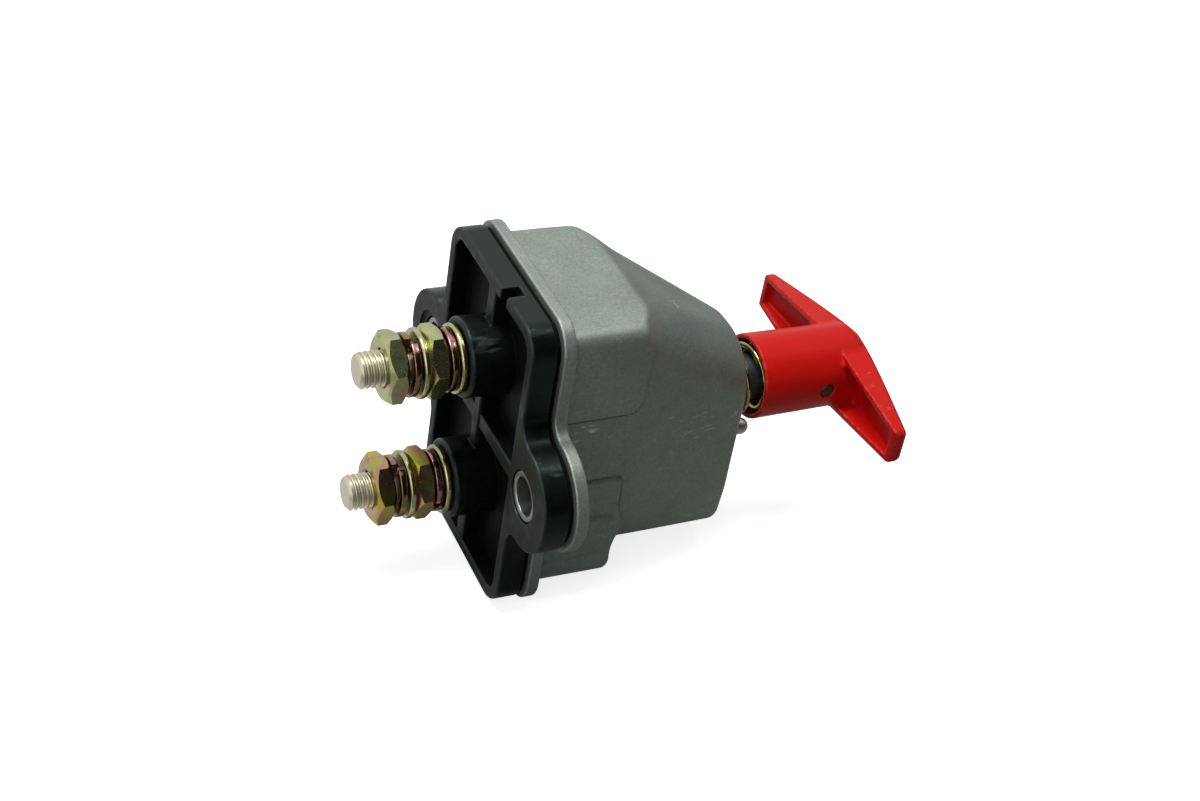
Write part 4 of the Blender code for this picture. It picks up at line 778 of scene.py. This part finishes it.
def hexOutline(flats, corner, cornerSteps=3, flatSteps=7):
    # points round a hexagon with a corner on +Z, its six corners softened
    points = []
    sixth = math.pi / 6
    apothem = flats / 2
    centre = (apothem - corner) / math.cos(sixth)
    half = (apothem - corner) * math.tan(sixth)
    for side in range(6):
        turn = math.pi / 2 + side * math.pi / 3
        for step in range(-cornerSteps, cornerSteps + 1):
            angle = turn + step / cornerSteps * sixth
            points.append((centre * math.cos(turn) + corner * math.cos(angle),
                           centre * math.sin(turn) + corner * math.sin(angle)))
        flat = turn + sixth
        for step in range(1 - flatSteps, flatSteps):
            slide = step / flatSteps * half
            points.append((apothem * math.cos(flat) - slide * math.sin(flat),
                           apothem * math.sin(flat) + slide * math.cos(flat)))
    return points


def nutPiece(name, y, z, turn):
    s = stack
    height, face, bore, edge = s["nutHeight"], s["nutFaceRadius"], s["bore"], s["nutMouth"]
    mouth = bore + edge
    cosine, sine = math.cos(math.radians(turn)), math.sin(math.radians(turn))
    slope = math.tan(math.radians(s["nutChamfer"]))
    points, faces = [], []
    ring = hexOutline(s["nutFlats"], s["nutCorner"])
    for px, pz in ring:
        reach = math.hypot(px, pz)
        drop = max(reach - face, 0.0) * slope + s["nutEdge"]
        flat = min(face, reach - s["nutFaceGap"])
        section = [(bore, edge), (mouth, 0.0), (flat, 0.0), (reach, drop), (reach, height - drop),
                   (flat, height), (mouth, height), (bore, height - edge)]  # from the bore outwards and back
        for radius, rise in section:
            ax, az = radius * px / reach, radius * pz / reach
            points.append(((ax * cosine + az * sine) * mm, (rise + y) * mm, (az * cosine - ax * sine + z) * mm))
    count = len(section)
    for i in range(len(ring)):
        here, there = i * count, (i + 1) % len(ring) * count
        for k in range(count):
            m = (k + 1) % count
            faces.append((here + k, here + m, there + m, there + k))
    return finishPiece(name, points, faces)


for place, end in stackPlaces:
    key, z = f"{place}_{end}", studEnds[end]
    nut = nutPiece(f"nut_{key}_plated", stack["nutY"][place], z, stack["nutTurn"][key])
    dress(nut, nutZinc[end], "switch_body", "yellow_zinc", f"nut_{key}")
    low = stack["washerY"][place]
    section = ringSection(
        stack["bore"], stack["washerRadius"], low, low + stack["washerHeight"], stack["washerRound"])
    washer = turnedPiece(f"flatWasher_{key}", section, (0, 0, z), steps=96)
    dress(washer, washerZinc, "switch_body", "yellow_zinc", f"flat_washer_{key}")

sleeve = {"bore": 5.2, "outer": 6.9, "rear": {"right": -0.5, "left": -1.5}, "front": -8.3, "lipRound": 0.45}
for side, x in (("right", -earX), ("left", earX)):
    section = ringSection(
        sleeve["bore"], sleeve["outer"], sleeve["rear"][side], sleeve["front"], sleeve["lipRound"])
    tube = turnedPiece(f"sleeve_{side}", section, (x, 0, 0), steps=80)
    dress(tube, sleeveSteel, "switch_body", "bright_steel", f"ear_sleeve_{side}")

seat = {"inner": 7.2, "outer": 10.8, "rear": -73.3, "front": -74.2, "lipRound": 0.2}
section = ringSection(seat["inner"], seat["outer"], seat["rear"], seat["front"], seat["lipRound"], steps=2)
ring = turnedPiece("springSeat", section, (0, 0, 0), steps=80)
dress(ring, sleeveSteel, "switch_body", "bright_steel", "spring_seat")

dowel = {
    "at": (-13.3, 0, -6.6), "shank": 1.5, "end": -57.9, "endChamfer": 0.3,
    "head": 2.4, "headEdge": 0.15, "seat": -74.5, "top": -78.7, "domeAngle": 86.0, "domeSteps": 8,
}
profile = [
    (dowel["shank"] - dowel["endChamfer"], dowel["end"]), (dowel["shank"], dowel["end"] - dowel["endChamfer"]),
    (dowel["shank"], dowel["seat"]), (dowel["head"] - dowel["headEdge"], dowel["seat"]),
    (dowel["head"], dowel["seat"] - dowel["headEdge"]),
]
for step in range(dowel["domeSteps"] + 1):
    turn = step / dowel["domeSteps"] * math.radians(dowel["domeAngle"])
    profile.append((dowel["head"] * math.cos(turn), dowel["top"] + dowel["head"] * (1 - math.sin(turn))))
dress(turnedPiece("domedDowel", profile, dowel["at"], steps=48, closed=False),
      dowelSteel, "switch_body", "bright_steel", "cam_dowel")

pin = {"radius": 2.0, "half": 11.8, "y": -104.4, "chamfer": 0.3}
profile = [
    (pin["radius"] - pin["chamfer"], -pin["half"]), (pin["radius"], -pin["half"] + pin["chamfer"]),
    (pin["radius"], pin["half"] - pin["chamfer"]), (pin["radius"] - pin["chamfer"], pin["half"]),
]
dress(turnedPiece("crossPin", profile, (0, pin["y"], 0), steps=48, along="X", closed=False),
      pinSteel, "handle_body", "dark_steel", "handle_pin")
print("turned pieces made")


# Threads, coils and split washers grow from node trees

def growTree(name, sizes):
    tree = bpy.data.node_groups.new(name, "GeometryNodeTree")
    tree.interface.new_socket(name="Geometry", in_out="OUTPUT", socket_type="NodeSocketGeometry")
    for size in sizes:
        tree.interface.new_socket(name=size, in_out="INPUT", socket_type="NodeSocketFloat")
    tree.interface.new_socket(name="Material", in_out="INPUT", socket_type="NodeSocketMaterial")
    return tree, addNode(tree, "NodeGroupInput", {}).outputs


def closeTree(tree, shape, material):
    smooth = addNode(tree, "GeometryNodeSetShadeSmooth", {"Geometry": shape})
    real = addNode(tree, "GeometryNodeRealizeInstances", {"Geometry": smooth.outputs["Geometry"]})
    painted = addNode(tree, "GeometryNodeSetMaterial", {
        "Geometry": real.outputs["Geometry"], "Material": material})
    addNode(tree, "NodeGroupOutput", {"Geometry": painted.outputs["Geometry"]})
    return tree


def growPiece(name, tree, values, material):
    piece = linkPiece(name, bpy.data.meshes.new(name))
    modifier = piece.modifiers.new("grow", "NODES")
    modifier.node_group = tree
    for item in tree.interface.items_tree:
        if item.in_out == "INPUT":
            modifier[item.identifier] = material if item.name == "Material" else float(values[item.name])
    mesh = bakedMesh(piece, name)
    piece.modifiers.clear()
    piece.data = mesh
    return piece


threadShape = {"vertices": 96, "rings": 420, "crest": 0.1, "root": 0.44}  # crest and root are shares of the pitch


def threadTree():
    # a rod whose radius follows a rolled thread, chamfered at its end, with a square-on hexagon head
    tree, sizes = growTree("threadedStud", [
        "Radius", "Length", "Pitch", "Depth", "Chamfer", "Rear", "Height", "HeadRadius", "HeadThick"])
    rod = addNode(tree, "GeometryNodeMeshCylinder", {
        "Vertices": threadShape["vertices"], "Side Segments": threadShape["rings"],
        "Radius": sizes["Radius"], "Depth": sizes["Length"]})
    spot = addNode(tree, "ShaderNodeSeparateXYZ", {0: addNode(tree, "GeometryNodeInputPosition", {}).outputs[0]})
    angle = addNode(tree, "ShaderNodeMath", {0: spot.outputs["Y"], 1: spot.outputs["X"]}, operation="ARCTAN2")
    share = addNode(tree, "ShaderNodeMath", {0: angle.outputs[0], 1: 2 * math.pi}, operation="DIVIDE")
    climb = addNode(tree, "ShaderNodeMath", {0: spot.outputs["Z"], 1: sizes["Pitch"]}, operation="DIVIDE")
    turn = addNode(tree, "ShaderNodeMath", {0: climb.outputs[0], 1: share.outputs[0]}, operation="SUBTRACT")
    phase = addNode(tree, "ShaderNodeMath", {0: turn.outputs[0]}, operation="FRACT")
    centred = addNode(tree, "ShaderNodeMath", {0: phase.outputs[0], 1: 0.5}, operation="SUBTRACT")
    vee = addNode(tree, "ShaderNodeMath", {0: centred.outputs[0]}, operation="ABSOLUTE")
    flank = addNode(tree, "ShaderNodeMapRange", {
        "Value": vee.outputs[0], "From Min": threadShape["crest"], "From Max": threadShape["root"]},
        interpolation_type="SMOOTHSTEP")
    groove = addNode(tree, "ShaderNodeMath", {0: flank.outputs["Result"], 1: sizes["Depth"]}, operation="MULTIPLY")
    halfLength = addNode(tree, "ShaderNodeMath", {0: sizes["Length"], 1: 0.5}, operation="MULTIPLY")
    fromEnd = addNode(tree, "ShaderNodeMath", {0: halfLength.outputs[0], 1: spot.outputs["Z"]}, operation="SUBTRACT")
    nip = addNode(tree, "ShaderNodeMath", {0: sizes["Chamfer"], 1: fromEnd.outputs[0]}, operation="SUBTRACT")
    loss = addNode(tree, "ShaderNodeMath", {0: groove.outputs[0], 1: nip.outputs[0]}, operation="MAXIMUM")
    part = addNode(tree, "ShaderNodeMath", {0: loss.outputs[0], 1: sizes["Radius"]}, operation="DIVIDE")
    scale = addNode(tree, "ShaderNodeMath", {0: 1.0, 1: part.outputs[0]}, operation="SUBTRACT")
    newX = addNode(tree, "ShaderNodeMath", {0: spot.outputs["X"], 1: scale.outputs[0]}, operation="MULTIPLY")
    newY = addNode(tree, "ShaderNodeMath", {0: spot.outputs["Y"], 1: scale.outputs[0]}, operation="MULTIPLY")
    moved = addNode(tree, "ShaderNodeCombineXYZ", {0: newX.outputs[0], 1: newY.outputs[0], 2: spot.outputs["Z"]})
    thread = addNode(tree, "GeometryNodeSetPosition", {
        "Geometry": rod.outputs["Mesh"], "Position": moved.outputs[0]})
    head = addNode(tree, "GeometryNodeMeshCylinder", {
        "Vertices": 6, "Radius": sizes["HeadRadius"], "Depth": sizes["HeadThick"]})
    headDown = addNode(tree, "ShaderNodeMath", {0: sizes["HeadThick"], 1: 0.5}, operation="MULTIPLY")
    headZ = addNode(tree, "ShaderNodeMath", {0: headDown.outputs[0], 1: halfLength.outputs[0]}, operation="SUBTRACT")
    headAt = addNode(tree, "ShaderNodeCombineXYZ", {2: headZ.outputs[0]})
    headSet = addNode(tree, "GeometryNodeTransform", {
        "Geometry": head.outputs["Mesh"], "Translation": headAt.outputs[0]})
    both = addNode(tree, "GeometryNodeJoinGeometry", {"Geometry": thread.outputs["Geometry"]})
    tree.links.new(headSet.outputs["Geometry"], both.inputs["Geometry"])
    middle = addNode(tree, "ShaderNodeMath", {0: sizes["Rear"], 1: halfLength.outputs[0]}, operation="ADD")
    placeAt = addNode(tree, "ShaderNodeCombineXYZ", {1: middle.outputs[0], 2: sizes["Height"]})
    laid = addNode(tree, "GeometryNodeTransform", {
        "Geometry": both.outputs["Geometry"], "Translation": placeAt.outputs[0],
        "Rotation": (-math.pi / 2, 0.0, 0.0)})
    return closeTree(tree, laid.outputs["Geometry"], sizes["Material"])


stud = {
    "Radius": 4.95, "Pitch": 1.5, "Depth": 0.72, "Chamfer": 0.9, "Rear": -11.5, "end": 35.0,
    "HeadRadius": 9.815, "HeadThick": 4.0,
}
studTree = threadTree()
for end, z in studEnds.items():
    values = {name: size * mm for name, size in stud.items()}
    values["Length"] = (stud["end"] - stud["Rear"]) * mm
    values["Height"] = z * mm
    rod = growPiece(f"threadedStud_{end}", studTree, values, tinnedBrass)
    rod.data.polygons.foreach_set("use_smooth", [len(face.vertices) == 4 for face in rod.data.polygons])
    dress(rod, tinnedBrass, "switch_body", "plated_copper", f"stud_{end}")


def coilTree(name, points, roundSteps):
    # wire that follows a helix about Z: a spring with closed end turns, or one turn of a split washer
    tree, sizes = growTree(name, [
        "Radius", "Turns", "Closed", "EndPitch", "Rise", "StartAngle", "Width", "Thick", "Round", "Rear", "Height"])
    line = addNode(tree, "GeometryNodeMeshLine", {"Count": points})
    index = addNode(tree, "GeometryNodeInputIndex", {})
    share = addNode(tree, "ShaderNodeMath", {0: index.outputs[0], 1: points - 1.0}, operation="DIVIDE")
    turn = addNode(tree, "ShaderNodeMath", {0: share.outputs[0], 1: sizes["Turns"]}, operation="MULTIPLY")
    shutTwice = addNode(tree, "ShaderNodeMath", {0: sizes["Closed"], 1: 2.0}, operation="MULTIPLY")
    active = addNode(tree, "ShaderNodeMath", {0: sizes["Turns"], 1: shutTwice.outputs[0]}, operation="SUBTRACT")
    past = addNode(tree, "ShaderNodeMath", {0: turn.outputs[0], 1: sizes["Closed"]}, operation="SUBTRACT")
    opened = addNode(tree, "ShaderNodeClamp", {"Value": past.outputs[0], "Min": 0.0, "Max": active.outputs[0]})
    shut = addNode(tree, "ShaderNodeMath", {0: turn.outputs[0], 1: opened.outputs[0]}, operation="SUBTRACT")
    shutRise = addNode(tree, "ShaderNodeMath", {0: shut.outputs[0], 1: sizes["EndPitch"]}, operation="MULTIPLY")
    openShare = addNode(tree, "ShaderNodeMath", {0: opened.outputs[0], 1: active.outputs[0]}, operation="DIVIDE")
    height = addNode(tree, "ShaderNodeMath", {
        0: openShare.outputs[0], 1: sizes["Rise"], 2: shutRise.outputs[0]}, operation="MULTIPLY_ADD")
    full = addNode(tree, "ShaderNodeMath", {0: turn.outputs[0], 1: -2 * math.pi}, operation="MULTIPLY")
    angle = addNode(tree, "ShaderNodeMath", {0: full.outputs[0], 1: sizes["StartAngle"]}, operation="ADD")
    cosine = addNode(tree, "ShaderNodeMath", {0: angle.outputs[0]}, operation="COSINE")
    sine = addNode(tree, "ShaderNodeMath", {0: angle.outputs[0]}, operation="SINE")
    pointX = addNode(tree, "ShaderNodeMath", {0: cosine.outputs[0], 1: sizes["Radius"]}, operation="MULTIPLY")
    pointY = addNode(tree, "ShaderNodeMath", {0: sine.outputs[0], 1: sizes["Radius"]}, operation="MULTIPLY")
    spot = addNode(tree, "ShaderNodeCombineXYZ", {0: pointX.outputs[0], 1: pointY.outputs[0], 2: height.outputs[0]})
    laidLine = addNode(tree, "GeometryNodeSetPosition", {
        "Geometry": line.outputs["Mesh"], "Position": spot.outputs[0]})
    path = addNode(tree, "GeometryNodeMeshToCurve", {"Mesh": laidLine.outputs["Geometry"]})
    upright = addNode(tree, "GeometryNodeSetCurveNormal", {"Curve": path.outputs["Curve"]}, mode="Z_UP")
    section = addNode(tree, "GeometryNodeCurvePrimitiveQuadrilateral", {
        "Width": sizes["Width"], "Height": sizes["Thick"]})
    softened = addNode(tree, "GeometryNodeFilletCurve", {
        "Curve": section.outputs["Curve"], "Count": roundSteps, "Radius": sizes["Round"]}, mode="POLY")
    wire = addNode(tree, "GeometryNodeCurveToMesh", {
        "Curve": upright.outputs["Curve"], "Profile Curve": softened.outputs["Curve"], "Fill Caps": True})
    placeAt = addNode(tree, "ShaderNodeCombineXYZ", {1: sizes["Rear"], 2: sizes["Height"]})
    laid = addNode(tree, "GeometryNodeTransform", {
        "Geometry": wire.outputs["Mesh"], "Translation": placeAt.outputs[0],
        "Rotation": (-math.pi / 2, 0.0, 0.0)})
    return closeTree(tree, laid.outputs["Geometry"], sizes["Material"])


washerTree = coilTree("splitWasher", points=72, roundSteps=3)
splitAngle = math.radians(stack["lockSplit"])
for place, end in stackPlaces:
    key = f"{place}_{end}"
    values = {
        "Radius": (stack["lockRadius"] + stack["bore"]) / 2 * mm, "Turns": 1 - splitAngle / (2 * math.pi),
        "Closed": 0.0, "EndPitch": 0.0, "Rise": stack["lockRise"][place] * mm,
        "StartAngle": math.radians(stack["lockTurn"][key]) - splitAngle / 2,
        "Width": (stack["lockRadius"] - stack["bore"]) * mm, "Thick": stack["lockHeight"] * mm,
        "Round": stack["lockRound"] * mm, "Height": studEnds[end] * mm,
        "Rear": (stack["lockY"][place] + stack["lockHeight"] / 2) * mm,
    }
    lock = growPiece(f"splitWasher_{key}", washerTree, values, lockZinc)
    lock.data.set_sharp_from_angle(angle=math.radians(stack["lockSharp"]))
    dress(lock, lockZinc, "switch_body", "yellow_zinc", f"lock_washer_{key}")

spring = {
    "outer": 20.4, "wire": 1.7, "round": 0.999, "activeTurns": 3.0, "closedTurns": 1.0, "endPitch": 2.3,
    "rear": -74.2, "front": -97.2, "gap": 0.3, "startAngle": 46.0, "keep": 0.7826,
}
wireHalf = spring["wire"] / 2
firstY = spring["rear"] - spring["gap"] - wireHalf
lastY = spring["front"] + spring["gap"] + wireHalf
values = {
    "Radius": (spring["outer"] / 2 - wireHalf) * mm, "Closed": spring["closedTurns"],
    "Turns": spring["activeTurns"] + 2 * spring["closedTurns"], "EndPitch": -spring["endPitch"] * mm,
    "Rise": (lastY - firstY + 2 * spring["closedTurns"] * spring["endPitch"]) * mm,
    "StartAngle": -math.radians(spring["startAngle"]), "Width": spring["wire"] * mm, "Thick": spring["wire"] * mm,
    "Round": wireHalf * spring["round"] * mm, "Rear": firstY * mm, "Height": 0.0,
}
coil = growPiece("returnSpring", coilTree("closedSpring", points=360, roundSteps=5), values, springZinc)
dress(coil, springZinc, "switch_body", "yellow_zinc", "return_spring")
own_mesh(coil)
print("threads, washers and spring grown")

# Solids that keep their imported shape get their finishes
finishes = {
    "gasket": gasketRubber, "shaft_seal": gasketRubber, "shaft": shaftSteel, "shaft_bush": bushBronze,
    "cam_ring": pinSteel, "cam_pin": pinSteel, "carrier_clip": pinSteel, "contact_bridge": barCopper,
    "contact_spring": sleeveSteel, "bridge_carrier": carrierPhenolic,
}
for node, material in finishes.items():
    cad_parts[node].data.materials.clear()
    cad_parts[node].data.materials.append(material)


# Floor, lamps, backdrop and camera

stage = {
    "floorSize": 8.0, "floorGap": 0.2, "paper": "#f4f4f2", "paperGlow": 0.78, "bounce": "#808080",
    "cardLift": 0.4, "cardRoughness": 0.9, "skyLevel": 0.16,
}
white = (1, 1, 1, 1)


def seenRays(tree):
    # 1 for camera, glossy and transmission rays, 0 for the light that bounces
    path = addNode(tree, "ShaderNodeLightPath", {})
    seen = addNode(tree, "ShaderNodeMath", {
        0: path.outputs["Is Camera Ray"], 1: path.outputs["Is Glossy Ray"]}, operation="MAXIMUM")
    return addNode(tree, "ShaderNodeMath", {
        0: seen.outputs[0], 1: path.outputs["Is Transmission Ray"]}, operation="MAXIMUM").outputs[0]


def stagePaper():
    # Matt paper: pale where it is seen, dim grey to the light that bounces
    material, tree, shader = newMaterial("paper")
    tree.nodes.remove(shader)
    paper = addNode(tree, "ShaderNodeBsdfDiffuse", {"Color": hexColour(stage["paper"])})
    lift = addNode(tree, "ShaderNodeEmission", {"Color": white, "Strength": stage["paperGlow"]})
    pale = addNode(tree, "ShaderNodeAddShader", {0: paper.outputs[0], 1: lift.outputs[0]})
    dim = addNode(tree, "ShaderNodeBsdfDiffuse", {"Color": hexColour(stage["bounce"])})
    mixed = addNode(tree, "ShaderNodeMixShader", {0: seenRays(tree), 1: dim.outputs[0], 2: pale.outputs[0]})
    tree.links.new(mixed.outputs[0], tree.nodes["Material Output"].inputs["Surface"])
    return material


def facing(at, target):
    # a frame at this place whose -Z looks at the target
    aim = np.array(target, float) - np.array(at, float)
    aim /= np.linalg.norm(aim)
    side = np.cross(aim, (0, 0, 1))
    side /= np.linalg.norm(side)
    turned = Matrix(np.stack([side, np.cross(side, aim), -aim], axis=1).tolist()).to_4x4()
    turned.translation = at
    return turned


def stagePlane(name, width, height, material, place):
    corners = [(-width / 2, -height / 2, 0), (width / 2, -height / 2, 0),
               (width / 2, height / 2, 0), (-width / 2, height / 2, 0)]
    mesh = bpy.data.meshes.new(name)
    mesh.from_pydata([place @ Vector(corner) for corner in corners], [], [(0, 1, 2, 3)])
    mesh.materials.append(material)
    plane = linkPiece(name, mesh)
    return plane


floorZ = cadBox[0][2] - stage["floorGap"] * mm
stagePlane("paperFloor", stage["floorSize"], stage["floorSize"], stagePaper(), Matrix.Translation((0, 0, floorZ)))

heart = (0.0, -0.03, 0.0)
tableZ = floorZ + stage["cardLift"] * mm
cards = {  # seen by reflections only: they shape what the metal and the gloss mirror
    "greyTable": {"place": Matrix.Translation((-0.83, 0, tableZ)), "size": (1.6, 1.6), "grey": "#949591"},
    "paleTable": {"place": Matrix.Translation((0.77, 0, tableZ)), "size": (1.6, 1.6), "grey": "#e4e4e0"},
    "darkFlag": {"place": facing((-0.42, -0.25, 0.32), heart), "size": (0.8, 0.9), "grey": "#0c0d0c"},
    "sideFlag": {"place": facing((0.06, -0.80, 0.12), heart), "size": (1.75, 0.5), "grey": "#121615"},
}
for name, card in cards.items():
    paint, tree, shader = newMaterial(name)
    shader.inputs["Base Color"].default_value = hexColour(card["grey"])
    shader.inputs["Roughness"].default_value = stage["cardRoughness"]
    plane = stagePlane(name, *card["size"], paint, card["place"])
    for ray in ("camera", "diffuse", "transmission", "shadow"):
        setattr(plane, f"visible_{ray}", False)

lamps = {
    "keyLamp": {"at": (0.16, 0.18, 1.0), "size": 0.55, "power": 8.3},
    "backLamp": {"at": (-0.05, -0.42, 0.92), "size": 0.18, "power": 0.6},
    "fillLamp": {"at": (-0.45, 0.5, 0.55), "size": 0.6, "power": 1.1},
}
for name, lamp in lamps.items():
    data = bpy.data.lights.new(name, "AREA")
    data.shape = "DISK"
    data.size = lamp["size"]
    data.energy = lamp["power"]
    light = bpy.data.objects.new(name, data)
    bpy.context.scene.collection.objects.link(light)
    light.matrix_world = facing(lamp["at"], heart)

world = bpy.data.worlds.new("studio")
bpy.context.scene.world = world
world.use_nodes = True
sky = world.node_tree
level = addNode(sky, "ShaderNodeMapRange", {"Value": seenRays(sky), "To Min": stage["skyLevel"]})
sky.links.new(level.outputs["Result"], sky.nodes["Background"].inputs["Strength"])
sky.nodes["Background"].inputs["Color"].default_value = white

view = {
    "at": (-0.391031, 0.185676, 0.329228), "lens": 60.26, "sensor": 36.0, "near": 0.01,
    "right": (-0.395818, -0.906821, 0.144927), "down": (-0.594360, 0.132668, -0.793180),
    "forward": (0.700046, -0.400094, -0.591490),
}
camera = bpy.data.objects.new("camera", bpy.data.cameras.new("camera"))
bpy.context.scene.collection.objects.link(camera)
camera.data.lens = view["lens"]
camera.data.sensor_width = view["sensor"]
camera.data.sensor_fit = "HORIZONTAL"
axes = np.stack([view["right"], -np.array(view["down"]), -np.array(view["forward"])], axis=1)
stand = Matrix(axes.tolist()).to_4x4()
stand.translation = view["at"]
camera.matrix_world = stand
camera.data.clip_start = view["near"]
bpy.context.scene.camera = camera
bpy.context.scene.view_settings.view_transform = "Standard"
print("stage set")
